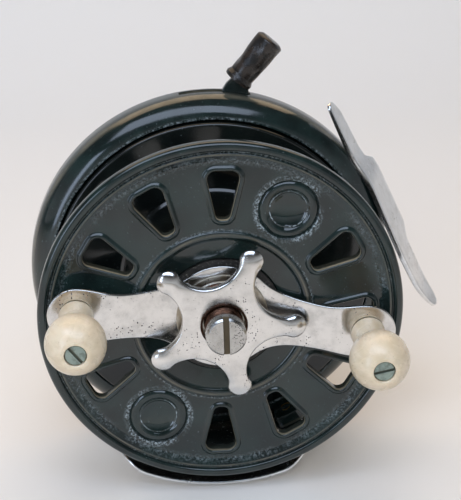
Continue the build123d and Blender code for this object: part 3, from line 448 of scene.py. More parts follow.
def turned_metal(name, colour, dirt, rough, marks, amount):
    """Lathe-turned metal left bare. The eye gets fine concentric tool marks, dulled and darkened
    by dirt that settles in blotches, and by dirt with painted shade on the floors of the slots.
    The marks are drawn 0.25 mm apart, coarser than real ones, so that they show."""
    material, tree, place = new_material(name)
    blotch = add(tree, "ShaderNodeTexNoise",
                 {"Vector": place, "Scale": 1 / 2.4, "Detail": 6.0, "Roughness": 0.65})
    fine = add(tree, "ShaderNodeTexNoise",
               {"Vector": place, "Scale": 1 / 0.4, "Detail": 3.0, "Roughness": 0.6})
    flat = add(tree, "ShaderNodeVectorMath", (place, (1.0, 0.0, 1.0)), operation="MULTIPLY")
    radius = add(tree, "ShaderNodeVectorMath", (flat,), "Value", operation="LENGTH")
    rings = add(tree, "ShaderNodeTexNoise", {"W": radius, "Scale": 1 / 0.25, "Detail": 2.0},
                noise_dimensions="1D")
    dirt_and_shade = add(tree, "ShaderNodeMapRange", (blotch, 0.42, 0.66, 0.0, amount), **SOFT)
    # dirt with painted shade on the floors of the slots, from the same point attribute
    slot = add(tree, "ShaderNodeAttribute", out="Fac", attribute_name="dirt_and_shade")
    dirt_and_shade = add(tree, "ShaderNodeMath", (dirt_and_shade, slot), operation="MAXIMUM")
    tone = add(tree, "ShaderNodeMix", {0: dirt_and_shade, 6: colour, 7: dirt}, 2, data_type="RGBA")
    height = add(tree, "ShaderNodeMath", (rings, marks, fine), operation="MULTIPLY_ADD")
    skin = add(tree, "ShaderNodeBump", {"Height": height, "Distance": 0.04 * MM, "Strength": 0.5})
    metal = add(tree, "ShaderNodeMapRange", (dirt_and_shade, 0.0, 1.0, 1.0, 0.35))
    dull = add(tree, "ShaderNodeMapRange", (blotch, 0.3, 0.75, rough, rough + 0.3), **SOFT)
    shader = add(tree, "ShaderNodeBsdfPrincipled", {"Base Color": tone, "Metallic": metal, "Roughness": dull,
                                                    "Normal": skin})
    add(tree, "ShaderNodeOutputMaterial", {"Surface": shader})
    return material


def moulded_rubber(name):
    """Old moulded rubber. The eye gets a brownish black with chalky scuffs and torn corners,
    worn to a shine on the face where a thumb has rested."""
    material, tree, place = new_material(name)
    wear = add(tree, "ShaderNodeTexNoise",
               {"Vector": place, "Scale": 1 / 6.0, "Detail": 4.0, "Roughness": 0.6})
    chips = add(tree, "ShaderNodeTexNoise",
                {"Vector": place, "Scale": 1 / 1.3, "Detail": 6.0, "Roughness": 0.7})
    faded = add(tree, "ShaderNodeMapRange", (wear, 0.40, 0.62), **SOFT)
    tone = add(tree, "ShaderNodeMix", {0: faded, 6: linear("0f0e0d"), 7: linear("302a26")}, 2,
               data_type="RGBA")
    scuff = add(tree, "ShaderNodeMapRange", (chips, 0.60, 0.74, 0.0, 0.4), **SOFT)
    tone = add(tree, "ShaderNodeMix", {0: scuff, 6: tone, 7: linear("776d62")}, 2, data_type="RGBA")
    shine = add(tree, "ShaderNodeMapRange", (wear, 0.38, 0.6, 0.36, 0.14), **SOFT)
    shine = add(tree, "ShaderNodeMath", (scuff, 0.6, shine), operation="MULTIPLY_ADD")
    torn = add(tree, "ShaderNodeMath", (chips, 0.35, wear), operation="MULTIPLY_ADD")
    skin = add(tree, "ShaderNodeBump", {"Height": torn, "Distance": 0.35 * MM, "Strength": 0.6})
    shader = add(tree, "ShaderNodeBsdfPrincipled", {"Base Color": tone, "Roughness": shine, "IOR": 1.52,
                                                    "Normal": skin})
    add(tree, "ShaderNodeOutputMaterial", {"Surface": shader})
    return material


def pressed_sheet(name, colour, dark, grain_mm, specks):
    """Leather or vulcanised fibre stamped from sheet. The eye gets a matt, mottled disc with a
    fine grain, oil-darkened patches and pale dust in the pores."""
    material, tree, place = new_material(name)
    oil = add(tree, "ShaderNodeTexNoise", {"Vector": place, "Scale": 1 / 6.0, "Detail": 4.0})
    dust = add(tree, "ShaderNodeTexNoise",
               {"Vector": place, "Scale": 1 / 0.7, "Detail": 5.0, "Roughness": 0.7})
    grain = add(tree, "ShaderNodeTexVoronoi", {"Vector": place, "Scale": 1 / grain_mm})
    oiled = add(tree, "ShaderNodeMapRange", (oil, 0.38, 0.65), **SOFT)
    tone = add(tree, "ShaderNodeMix", {0: oiled, 6: colour, 7: dark}, 2, data_type="RGBA")
    pale = add(tree, "ShaderNodeMapRange", (dust, 0.56, 0.70, 0.0, specks), **SOFT)
    tone = add(tree, "ShaderNodeMix", {0: pale, 6: tone, 7: linear("8f8d86")}, 2, data_type="RGBA")
    dull = add(tree, "ShaderNodeMapRange", (oil, 0.3, 0.7, 0.7, 0.45), **SOFT)
    skin = add(tree, "ShaderNodeBump", {"Height": grain, "Distance": 0.1 * MM, "Strength": 0.6})
    shader = add(tree, "ShaderNodeBsdfPrincipled", {"Base Color": tone, "Roughness": dull, "Normal": skin})
    add(tree, "ShaderNodeOutputMaterial", {"Surface": shader})
    return material


def finish_table():
    """Maker, material name and settings of every finish."""
    scene = bpy.context.scene
    look = scene.reel_finish
    moulding, plating, knobs = (*look.moulding, 1.0), (*look.plating, 1.0), (*look.knobs, 1.0)
    black = linear("121b1b")
    axis = (0.0, 0.0, 0.0)
    crust_and_highlight = [(axis, 51.4, 2.0, 0.26), (axis, 54.1, 0.5, 0.3), (axis, 28.9, 0.7, 0.45)]
    blind = 720.0 / scene.reel_spool.places
    for angle in (blind, blind + 180.0):
        x, z = polar(-BLIND_R, angle + SPOOL_TURN)
        # the rings at 9.75 and 5.85 mm are partly residue and partly a painted highlight on the edges of each
        # button
        for radius, width, strength in ((10.3, 1.3, 0.9), (9.75, 0.5, 1.4), (5.85, 0.3, 1.3)):
            crust_and_highlight.append(((x, 0.0, z), radius, width, strength))
    return {
        # the rings at 53.4 and 27.4 mm, and at 60.0 mm on the frame, carry the painted tan highlight
        "flange": (moulded_phenolic, "moulded_phenolic_spool", moulding, black, [(53.4, 0.4), (27.4, 0.6)],
                   crust_and_highlight, (40.0, 9.6)),
        "frame": (moulded_phenolic, "moulded_phenolic_frame", moulding, black, [(60.0, 0.8)],
                  [(axis, 54.0, 0.8, 0.5)]),
        # painted shade: a darker copy of the moulding for the core and the rear disc, so that the inside of
        # the spool looks black through the windows
        "core": (moulded_phenolic, "moulded_phenolic_core", linear("111615"), linear("0a0d0d")),
        "arm": (moulded_phenolic, "stoved_black_enamel_lever", linear("262e2e"), black),
        "star": (chrome_plate, "chrome_on_brass_star", plating, 0.36, 0.55, 0.15, linear("6c675e"), 0.2),
        "plate": (chrome_plate, "chrome_on_steel_crank", plating, 0.34, 0.6, 0.11, linear("4a453d"), 0.3),
        "foot": (chrome_plate, "chrome_on_brass_foot", linear("f0f1f2"), 0.16, 0.6, 0.16, linear("77746d"),
                 0.2),
        "stack": (chrome_plate, "chrome_on_steel_washers", linear("bab6ac"), 0.3, 0.6, 0.26,
                  linear("846c42"), 0.7),
        "bright_screw": (chrome_plate, "nickelled_brass_screw", linear("c4c3c0"), 0.5, 0.4, 0.2,
                         linear("6a665e"), 0.4),
        "screw": (turned_metal, "turned_steel_screw", linear("9aa09e"), linear("2f2e2a"), 0.22, 0.8, 0.6),
        "end_screw": (turned_metal, "verdigrised_brass_screw", linear("98a8a1"), linear("5c5f55"), 0.3, 0.6,
                      0.6),
        "sleeve": (turned_metal, "turned_brass_sleeve", linear("5c4133"), linear("1f1611"), 0.2, 0.4, 0.7),
        "brass": (turned_metal, "turned_brass_bush", linear("b08d4f"), linear("4d3a1e"), 0.3, 0.6, 0.7),
        "ivory": (cast_ivory_resin, "cast_celluloid_knob", knobs),
        "rubber": (moulded_rubber, "moulded_rubber_grip"),
        "leather": (pressed_sheet, "oiled_leather_washer", linear("211f1d"), linear("0f0e0d"), 0.6, 0.6),
        "fibre": (pressed_sheet, "vulcanised_fibre_washer", linear("7d4a35"), linear("3c2118"), 0.4, 0.2),
    }


FINISHES = {}


def finish(name):
    """The material of a finish, made when it is first asked for."""
    if name not in FINISHES:
        maker, *settings = finish_table()[name]
        FINISHES[name] = maker(*settings)
    return FINISHES[name]


# ------------------------------------------------------------------ sizes and colours to change
def length(name, description, default):
    """Length property whose default is given in millimetres."""
    return bpy.props.FloatProperty(name=name, description=description, default=default * MM, min=0.0,
                                   subtype="DISTANCE", unit="LENGTH")


class ReelSpoolSizes(bpy.types.PropertyGroup):
    """Sizes of the spool's pierced front flange."""

    radius: length("Flange radius", "Outer radius of the front flange", 57.5)
    window_in: length("Window start", "Radius at which a window starts", 32.2)
    window_out: length("Window end", "Radius at which a window ends", 47.9)
    lip: length("Lip height", "Height of the rounded lip round each window", 0.8)
    places: bpy.props.IntProperty(name="Places", description="Windows and blind bosses round the flange",
                                  default=12, min=4, max=36)


class ReelCrankSizes(bpy.types.PropertyGroup):
    """Sizes of the crank plate, star and knobs."""

    knob_throw: length("Knob throw", "Radius of the knob centres about the spindle", 45.5)
    plate_end: length("Plate end", "Radius of the crank plate's round ends", 8.9)
    ball: length("Knob ball", "Radius of each knob's ball", 9.2)
    star_reach: length("Star reach", "Radius at which the star's bulbs are centred", 22.0)
    star_arms: bpy.props.IntProperty(name="Star arms", description="Arms of the drag star", default=5,
                                     min=3, max=8)


class ReelFinish(bpy.types.PropertyGroup):
    """Colours of the main finishes."""

    moulding: bpy.props.FloatVectorProperty(name="Moulding",
                                            description="Colour of the moulded spool and frame",
                                            subtype="COLOR", size=3, default=linear("1b2928")[:3])
    plating: bpy.props.FloatVectorProperty(name="Plating", description="Colour of the bright plating",
                                           subtype="COLOR", size=3, default=linear("e5e3e0")[:3])
    knobs: bpy.props.FloatVectorProperty(name="Knobs", description="Colour of the knobs", subtype="COLOR",
                                         size=3, default=linear("d9cbb4")[:3])


# Planes along the axis, and turns about it, that the pieces share with the mechanism
FRONT = -17.0
FACE, FLANGE_BACK = -15.3, -12.0
CRANK_ANGLE, SPOOL_TURN, STAR_ANGLE = -6.0, -0.6, 67.3
ARM_FACE, HUB_FACE, PLATE_T, PLATE_HUB_R = -21.8, -16.1, 1.5, 17.1
STAR_BACK, STAR_T = -20.0, 3.0
SLEEVE_R, SLEEVE_FRONT = 6.1, -27.0
FRAME_BACK, FRAME_NOSE_AT = 37.5, 27.3
GUARD_ANGLE, GUARD_R, LUG_SPREAD, GUARD_SCREW_Y = -92.2, 60.9, 28.6, 15.8
LEVER_ANGLE, LEVER_FRONT = 82.0, 27.5
FOOT_ANGLE, FOOT_TILT, FOOT_T = 25.5, 20.0, 1.8
WEB_IN, WEB_OUT, WEB_STEPS, BLIND_R = 29.0, 50.2, 16, 40.3


# ------------------------------------------------------------------ repeated pieces
def tree_input(tree, name, kind):
    """Identifier of a new named input of a geometry tree."""
    return tree.interface.new_socket(name, in_out="INPUT", socket_type=kind).identifier


def hidden_mesh(name, vertices, faces):
    """Source mesh for a geometry tree, in metres, kept out of the scene."""
    mesh = bpy.data.meshes.new(name)
    mesh.from_pydata([Vector(point) * MM for point in vertices], [], faces)
    return bpy.data.objects.new(name, mesh)


def run_tree(name, tree, values, points=None):
    """Evaluates a geometry tree on fresh points and returns its plain mesh."""
    base = bpy.data.objects.new(name, points or bpy.data.meshes.new(name))
    bpy.context.scene.collection.objects.link(base)
    modifier = base.modifiers.new(name, "NODES")
    modifier.node_group = tree
    for identifier, value in values.items():
        modifier[identifier] = value
    bpy.context.view_layer.update()
    made = base.evaluated_get(bpy.context.evaluated_depsgraph_get())
    mesh = bpy.data.meshes.new_from_object(made)
    base.modifiers.clear()
    bpy.data.objects.remove(base)
    return mesh


def web_tree():
    """Ring of wedge tiles about Y: place 2 and the one half a turn on take the blind tile."""
    tree = bpy.data.node_groups.new("flange web", "GeometryNodeTree")
    tree.interface.new_socket("Geometry", in_out="OUTPUT", socket_type="NodeSocketGeometry")
    names = {
        "Window tile": tree_input(tree, "Window tile", "NodeSocketObject"),
        "Blind tile": tree_input(tree, "Blind tile", "NodeSocketObject"),
        "Places": tree_input(tree, "Places", "NodeSocketInt"),
        "Material": tree_input(tree, "Material", "NodeSocketMaterial"),
    }
    given = add(tree, "NodeGroupInput").node.outputs
    row = add(tree, "GeometryNodeMeshLine", {"Count": given["Places"], "Offset": (0.0, 0.0, 0.0)})
    index = add(tree, "GeometryNodeInputIndex")
    part = add(tree, "ShaderNodeMath", (index, given["Places"]), operation="DIVIDE")
    turn = add(tree, "ShaderNodeMath", (part, -2 * pi), operation="MULTIPLY")
    spin = add(tree, "ShaderNodeCombineXYZ", {"Y": turn})
    half = add(tree, "ShaderNodeMath", (given["Places"], 0.5), operation="MULTIPLY")
    in_turn = add(tree, "ShaderNodeMath", (index, half), operation="MODULO")
    blind = add(tree, "FunctionNodeCompare", {"A": in_turn, "B": 2.0}, operation="EQUAL", data_type="FLOAT")
    plain = add(tree, "FunctionNodeBooleanMath", (blind,), operation="NOT")
    rings = []
    for label, chosen in (("Window tile", plain), ("Blind tile", blind)):
        tile = add(tree, "GeometryNodeObjectInfo", {"Object": given[label]}, "Geometry")
        rings.append(add(tree, "GeometryNodeInstanceOnPoints", {
            "Points": row, "Selection": chosen, "Instance": tile, "Rotation": spin}))
    both = add(tree, "GeometryNodeJoinGeometry", (rings[0],))
    tree.links.new(rings[1], both.node.inputs[0])
    real = add(tree, "GeometryNodeRealizeInstances", (both,))
    dressed = add(tree, "GeometryNodeSetMaterial", {"Geometry": real, "Material": given["Material"]})
    add(tree, "NodeGroupOutput", (dressed,))
    return tree, names


def screw_tree():
    """A screw on every point, faced along its facing and turned by its turn attribute."""
    tree = bpy.data.node_groups.new("screws on points", "GeometryNodeTree")
    tree.interface.new_socket("Geometry", in_out="INPUT", socket_type="NodeSocketGeometry")
    tree.interface.new_socket("Geometry", in_out="OUTPUT", socket_type="NodeSocketGeometry")
    names = {"Screw": tree_input(tree, "Screw", "NodeSocketObject"),
             "Material": tree_input(tree, "Material", "NodeSocketMaterial")}
    given = add(tree, "NodeGroupInput").node.outputs
    facing = add(tree, "GeometryNodeInputNamedAttribute", {"Name": "facing"}, data_type="FLOAT_VECTOR")
    turn = add(tree, "GeometryNodeInputNamedAttribute", {"Name": "turn"}, data_type="FLOAT")
    aim = add(tree, "FunctionNodeAlignRotationToVector", {"Vector": facing}, axis="Y")
    about = add(tree, "ShaderNodeCombineXYZ", {"Y": turn})
    aimed = add(tree, "FunctionNodeRotateRotation", {"Rotation": aim, "Rotate By": about},
                rotation_space="LOCAL")
    screw = add(tree, "GeometryNodeObjectInfo", {"Object": given["Screw"]}, "Geometry")
    placed = add(tree, "GeometryNodeInstanceOnPoints", {"Points": given["Geometry"], "Instance": screw,
                                                        "Rotation": aimed})
    real = add(tree, "GeometryNodeRealizeInstances", (placed,))
    dressed = add(tree, "GeometryNodeSetMaterial", {"Geometry": real, "Material": given["Material"]})
    add(tree, "NodeGroupOutput", (dressed,))
    return tree, names


def slotted_screw(shank_r, length_mm, head_r, head_t, slot_w, slot_depth):
    """Slotted screw along Y: head above 0 with its slot along X, shank below."""
    screw = lathe("slotted screw", [
        (0.0, -length_mm), (shank_r, -length_mm), (shank_r, 0.0), (head_r, 0.0), (head_r, head_t, 0.35),
        (0.0, head_t)], None, 48)
    cut(screw, block((0.0, head_t, 0.0), (3.0 * head_r, 2.0 * slot_depth, slot_w)))
    # marks the slot floor for the dirt and painted shade of the screw's material
    dirt_and_shade = screw.data.attributes.new("dirt_and_shade", "FLOAT", "POINT")
    for i, corner in enumerate(screw.data.vertices):
        dirt_and_shade.data[i].value = 1.0 if abs(corner.co.y / MM - head_t + slot_depth) < 0.02 else 0.0
    return screw


def screw_group(name, body, slot, nodes, screw, spots, material):
    """One object of like screws: spots are (place, facing, turn)."""
    points = bpy.data.meshes.new(name + " spots")
    points.from_pydata([Vector(place) * MM for place, _, _ in spots], [], [])
    points.attributes.new("facing", "FLOAT_VECTOR", "POINT")
    points.attributes.new("turn", "FLOAT", "POINT")
    for i, (_, direction, angle) in enumerate(spots):
        points.attributes["facing"].data[i].vector = direction
        points.attributes["turn"].data[i].value = radians(angle)
    tree, names = screw_tree()
    mesh = run_tree(name, tree, {names["Screw"]: screw, names["Material"]: material}, points)
    bpy.data.objects.remove(screw)
    return placed_mesh(name, mesh, body, slot, nodes)


def placed_mesh(name, mesh, body, slot, nodes):
    """Scene object of an evaluated mesh, cleaned, riding on its body."""
    work = bmesh.new()
    work.from_mesh(mesh)
    bmesh.ops.remove_doubles(work, verts=work.verts, dist=0.004 * MM)
    bmesh.ops.recalc_face_normals(work, faces=work.faces)
    work.to_mesh(mesh)
    work.free()
    mesh.set_sharp_from_angle(angle=radians(35))
    piece = bpy.data.objects.new(name, mesh)
    bpy.context.scene.collection.objects.link(piece)
    return mount(piece, body, slot, *nodes)


# ------------------------------------------------------------------ spool
def window_loop(sizes, grow=0.0):
    """Anticlockwise outline of a tapered window about +X, grown outwards."""
    start, end = sizes.window_in / MM, sizes.window_out / MM
    loop = rounded_loop([(end, -5.6, 2.6), (end, 5.6, 2.6), (start, 2.0, 1.8), (start, -2.0, 1.8)], 8)
    return inward(resample(loop, 0.55), -grow)


def tile_border(places):
    """Outline of one wedge tile of the web, anticlockwise, with shared edge points."""
    half = 180 / places
    return arc((0, 0), WEB_OUT, -half, half, WEB_STEPS) + arc((0, 0), WEB_IN, half, -half, WEB_STEPS)


def tile_data(places, rings, pierced):
    """Wedge tile: flat front and back with rings of (loop, place) sunk or raised in it."""
    vertices, faces = [], []
    border = tile_border(places)
    for place, hole in ((FACE, rings[0][0]), (FLANGE_BACK, rings[-1][0] if pierced else None)):
        flat, triangles = fill([border] + ([hole] if hole else []), 0)
        first = len(vertices)
        vertices += [(x, place, z) for x, z in flat]
        for face in triangles:
            turned = face if place == FLANGE_BACK else reversed(face)
            faces.append(tuple(first + i for i in turned))
    first, count = len(vertices), len(rings[0][0])
    for loop, place in rings:
        vertices += [(x, place, z) for x, z in loop]
    for k in range(len(rings) - 1):
        for i in range(count):
            j = (i + 1) % count
            a, b = first + k * count, first + (k + 1) * count
            faces.append((a + i, a + j, b + j, b + i))
    return vertices, faces


def window_tile(sizes):
    """Tile pierced by one window with its raised rounded lip."""
    lip = sizes.lip / MM
    steps = [(2.0, 0.0), (1.8, -0.05), (1.55, -0.32), (1.3, -0.66), (1.0, -0.9), (0.7, -1.0), (0.42, -0.92),
             (0.18, -0.62), (0.05, -0.2), (0.0, 0.4)]
    rings = [(window_loop(sizes, grow), FACE + rise * lip) for grow, rise in steps]
    rings += [(window_loop(sizes), FLANGE_BACK - 0.5), (window_loop(sizes, 0.15), FLANGE_BACK - 0.15),
              (window_loop(sizes, 0.5), FLANGE_BACK)]
    return tile_data(sizes.places, rings, True)


def blind_tile(sizes):
    """Tile with a sunk rounded ring about a dished button instead of a window."""
    steps = [(9.85, 0.0), (9.62, 0.03), (9.45, 0.2), (9.34, 0.5), (9.18, 0.62), (8.98, 0.48), (8.7, 0.2),
             (8.35, -0.02), (7.9, -0.12), (7.4, -0.1), (6.9, 0.1), (6.5, 0.38), (6.25, 0.62), (6.08, 0.7),
             (5.92, 0.6), (5.74, 0.62), (5.5, 0.82), (4.7, 1.28), (3.5, 1.62), (2.0, 1.84), (0.6, 1.92),
             (0.0, 1.92)]
    rings = [(arc((BLIND_R, 0.0), radius, 0, 360, 72)[:-1], FACE + depth) for radius, depth in steps]
    return tile_data(sizes.places, rings, False)


def web_ring_data(sizes, corners):
    """Open turned strip that meets the web's tiles point for point."""
    return lathe_data(rounded(corners, 6), sizes.places * WEB_STEPS, pi / sizes.places)


def joined(parts):
    """One list of points and faces from several."""
    vertices, faces = [], []
    for points, polygons in parts:
        first = len(vertices)
        vertices += points
        faces += [tuple(first + i for i in face) for face in polygons]
    return vertices, faces


class REEL_OT_spool(bpy.types.Operator):
    """Makes the spool: pierced front flange, core and rear flange"""

    bl_idname = "reel.spool"
    bl_label = "Spool"

    def execute(self, context):
        sizes = context.scene.reel_spool
        radius = sizes.radius / MM
        tree, names = web_tree()
        source = {
            "Window tile": hidden_mesh("window tile", *window_tile(sizes)),
            "Blind tile": hidden_mesh("blind tile", *blind_tile(sizes)),
            "Places": sizes.places,
            "Material": finish("flange"),
        }
        mesh = run_tree("web", tree, {names[key]: value for key, value in source.items()})
        web = [tuple(corner.co / MM) for corner in mesh.vertices]
        web_faces = [tuple(polygon.vertices) for polygon in mesh.polygons]
        rim = web_ring_data(sizes, [
            (WEB_OUT, FACE), (51.0, FACE, 1.3), (53.0, FRONT + 0.55, 0.35), (53.75, FRONT + 0.55, 0.35),
            (54.05, FRONT + 1.2, 0.2), (54.45, FRONT + 1.2, 0.2), (54.6, FRONT, 1.1), (radius, FRONT, 1.75),
            (radius, FRONT + 4.5, 1.6), (radius - 4.0, FRONT + 4.5, 1.5), (radius - 6.0, FLANGE_BACK, 0.8),
            (WEB_OUT, FLANGE_BACK)])
        hub = web_ring_data(sizes, [
            (WEB_IN, FLANGE_BACK), (17.0, FLANGE_BACK), (17.0, -8.1), (6.6, -8.1), (6.6, -13.0),
            (19.0, -13.0, 0.3), (19.0, -13.9, 0.35), (26.0, FACE + 0.3, 1.5), (26.5, FACE - 0.6, 0.45),
            (28.2, FACE - 0.6, 0.6), (28.65, FACE, 0.3), (WEB_IN, FACE)])
        spin = about_axis(SPOOL_TURN)
        vertices, faces = joined([(web, web_faces), rim, hub])
        flange = finish_mesh("spool_flange", [spin(point) for point in vertices], faces, finish("flange"), 40)
        mount(flange, "spool", "bakelite_green_black", "spool_front_flange")
        # the core takes the darker finish of painted shade
        core = lathe("spool_core_surface", [
            (8.0, -8.0), (16.9, -8.0), (16.9, -11.9), (31.2, -11.9), (31.0, -11.5, 0.3), (30.0, -10.8, 0.6),
            (30.0, 15.8, 0.6), (31.0, 16.6, 0.3), (31.2, 16.98), (8.0, 16.98)], finish("core"), 144)
        mount(core, "spool", "bakelite_green_black", "spool_core")
        # the rear disc takes the same darker finish of painted shade
        rear = lathe("spool_rear_disc", [
            (8.0, 17.02), (52.9, 17.02, 0.9), (52.9, 20.48, 0.9), (8.0, 20.48)], finish("core"), 192)
        mount(rear, "spool", "bakelite_green_black", "spool_rear_flange")
        return {"FINISHED"}


# ------------------------------------------------------------------ crank, drag and star
def arm_outline(sizes):
    """Outline of both crank arms and their hub, anticlockwise, before they are bent."""
    throw, end = sizes.knob_throw / MM, sizes.plate_end / MM
    root = Vector(polar(PLATE_HUB_R, 50))
    waist, tip = Vector((30.5, 7.4)), Vector((throw, end))
    side = []
    for a, b, leave, reach in ((tip, waist, (-1.0, 0.0), (-1.0, 0.02)),
                               (waist, root, (-1.0, 0.02), (-0.72, 0.69))):
        gap = (b - a).length
        t_0, t_1 = Vector(leave).normalized() * gap, Vector(reach).normalized() * gap
        for k in range(12):
            t = k / 12
            side.append(tuple(a * (2 * t ** 3 - 3 * t ** 2 + 1) + t_0 * (t ** 3 - 2 * t ** 2 + t)
                              + b * (3 * t ** 2 - 2 * t ** 3) + t_1 * (t ** 3 - t ** 2)))
    right = arc((throw, 0.0), end, -90, 90, 28)[:-1] + side
    top = arc((0.0, 0.0), PLATE_HUB_R, 50, 130, 20)
    bottom = arc((0.0, 0.0), PLATE_HUB_R, 230, 310, 20)
    left = [(-x, y) for x, y in reversed(side[1:])] + arc((-throw, 0.0), end, 90, 270, 28)[:-1]
    half = right[28:] + top + left
    lower = [(-x, -y) for x, y in side] + bottom + [(x, -y) for x, y in reversed(side[1:])]
    loop = right[:28] + half + lower
    return resample(loop, 0.8)


def arm_rise(across):
    """Front face of the crank plate at a distance along the arm: an S bend to the knob."""
    part = min(max((abs(across) - 15.0) / 23.5, 0.0), 1.0)
    return HUB_FACE + (ARM_FACE - HUB_FACE) * part * part * (3 - 2 * part)


def star_outline(sizes):
    """Outline of the star, anticlockwise: round coves that run into necks and round bulbs."""
    count, reach, neck, bulb = sizes.star_arms, sizes.star_reach / MM, 3.15, 3.9
    half = pi / count
    far = (13.0 - neck) / (1 - sin(half))
    cove = far - 13.0
    side = [(far * cos(half) + cove * cos(radians(a)), far * sin(half) + cove * sin(radians(a)))
            for a in range(round(degrees(half)) + 180, 271, 6)]
    side += [(reach - 2.2, neck + 0.12), (reach - 1.1, neck + 0.42)]
    tip = [(reach + bulb * cos(radians(a)), bulb * sin(radians(a))) for a in range(94, -1, -8)]
    tip.append((reach + bulb, 0.0))
    arm = side + tip + [(x, -y) for x, y in reversed((side + tip)[:-1])]
    loop = []
    for i in range(count):
        spin = -2 * pi * i / count
        loop += [(x * cos(spin) - y * sin(spin), x * sin(spin) + y * cos(spin)) for x, y in arm]
    return resample(list(reversed(loop)), 0.5)


class REEL_OT_crank(bpy.types.Operator):
    """Makes the twin crank: bent plate, stepped hub rings, drive sleeve and washers"""

    bl_idname = "reel.crank"
    bl_label = "Crank"

    def execute(self, context):
        sizes = context.scene.reel_crank
        spin = about_axis(CRANK_ANGLE)

        def bend(u, v, depth):
            # the arms are crowned: their long edges drop back by a quarter of a millimetre
            droop = 0.25 * (v / 9.0) ** 2 * min(abs(u) / 30.0, 1.0)
            return spin((u, arm_rise(u) + depth + droop * (1 - depth / PLATE_T), v))

        hole = round_hole((0.0, 0.0), SLEEVE_R, 64)
        arms = plate("crank_plate_arms", arm_outline(sizes), PLATE_T, 0.4, bend, finish("plate"), [hole], 1.1)
        mount(arms, "crank", "chrome_plate", "crank_plate")
        steps = lathe("crank_hub_rings", [
            (6.1, HUB_FACE + 0.7), (6.1, HUB_FACE - 1.2), (12.4, HUB_FACE - 1.2, 0.35),
            (12.4, HUB_FACE - 0.6, 0.15), (14.4, HUB_FACE - 0.6, 0.3), (14.4, HUB_FACE + 0.7)],
            finish("stack"), 96)
        mount(steps, "crank", "chrome_plate")
        nose = [SLEEVE_FRONT + 0.5 + k * 0.08 for k in range(105)]
        turns, pitch, thread_depth, thread_end = 48, 1.0, 0.34, -18.9
        vertices, faces = [], []
        for place in nose:
            for i in range(turns):
                phase = (place / pitch - i / turns) % 1.0
                ridge = abs(phase - 0.5) * 2
                depth = thread_depth * min(1.0, max(0.0, (ridge - 0.15) / 0.7))
                depth *= min(1.0, max(0.0, (thread_end - place) / 0.8), (place - nose[0]) / 0.4)
                angle = 2 * pi * i / turns
                vertices.append(((SLEEVE_R - depth) * cos(angle), place, (SLEEVE_R - depth) * sin(angle)))
        for k in range(len(nose) - 1):
            for i in range(turns):
                j = (i + 1) % turns
                faces.append((k * turns + i, k * turns + j, (k + 1) * turns + j, (k + 1) * turns + i))
        body = lathe_data([(4.05, SLEEVE_FRONT), (4.05, 25.0), (SLEEVE_R, 25.0), (SLEEVE_R, nose[-1])], turns)
        lip = lathe_data([(SLEEVE_R, nose[0]), (SLEEVE_R - 0.45, SLEEVE_FRONT), (4.05, SLEEVE_FRONT)], turns)
        vertices, faces = joined([(vertices, faces), body, lip])
        sleeve = finish_mesh("threaded_sleeve", vertices, faces, finish("sleeve"), 50)
        mount(sleeve, "crank", "aged_brass", "drive_sleeve")
        fibre = lathe("fibre_disc", [
            (6.1, -18.1), (11.8, -18.1, 0.15), (11.8, -17.32, 0.15), (6.1, -17.32)], finish("fibre"), 96)
        mount(fibre, "crank", "red_fibre", "fibre_washer")
        thrust = lathe("thrust_disc", [
            (6.15, -19.9), (10.4, -19.9, 0.2), (10.4, -18.85, 0.2), (6.15, -18.85)], finish("stack"), 96)
        mount(thrust, "thrust", "steel", "thrust_washer")
        return {"FINISHED"}


class REEL_OT_star(bpy.types.Operator):
    """Makes the drag star"""

    bl_idname = "reel.star"
    bl_label = "Drag Star"

    def execute(self, context):
        sizes = context.scene.reel_crank
        spin = about_axis(STAR_ANGLE)
        front = STAR_BACK - STAR_T

        def crown(u, v, depth):
            reach, angle = hypot(u, v), atan2(v, u) % (2 * pi / sizes.star_arms)
            angle = min(angle, 2 * pi / sizes.star_arms - angle)
            along, across = reach * cos(angle), reach * sin(angle)
            # flat round the hub, domed towards the end of each arm
            full = min(max((along - 13.0) / 7.0, 0.0), 1.0)
            domed = 1.25 * full * full * ((across / 3.6) ** 2 + (max(along - 21.3, 0.0) / 4.0) ** 2)
            return spin((u, front + min(domed, 1.5) * (1 - depth / STAR_T) + depth, v))

        hole = round_hole((0.0, 0.0), 6.6, 64)
        arms = plate("star_arms", star_outline(sizes), STAR_T, 0.9, crown, finish("star"), [hole], 0.9, 50)
        mount(arms, "star", "chrome_plate", "star_wheel")
        return {"FINISHED"}


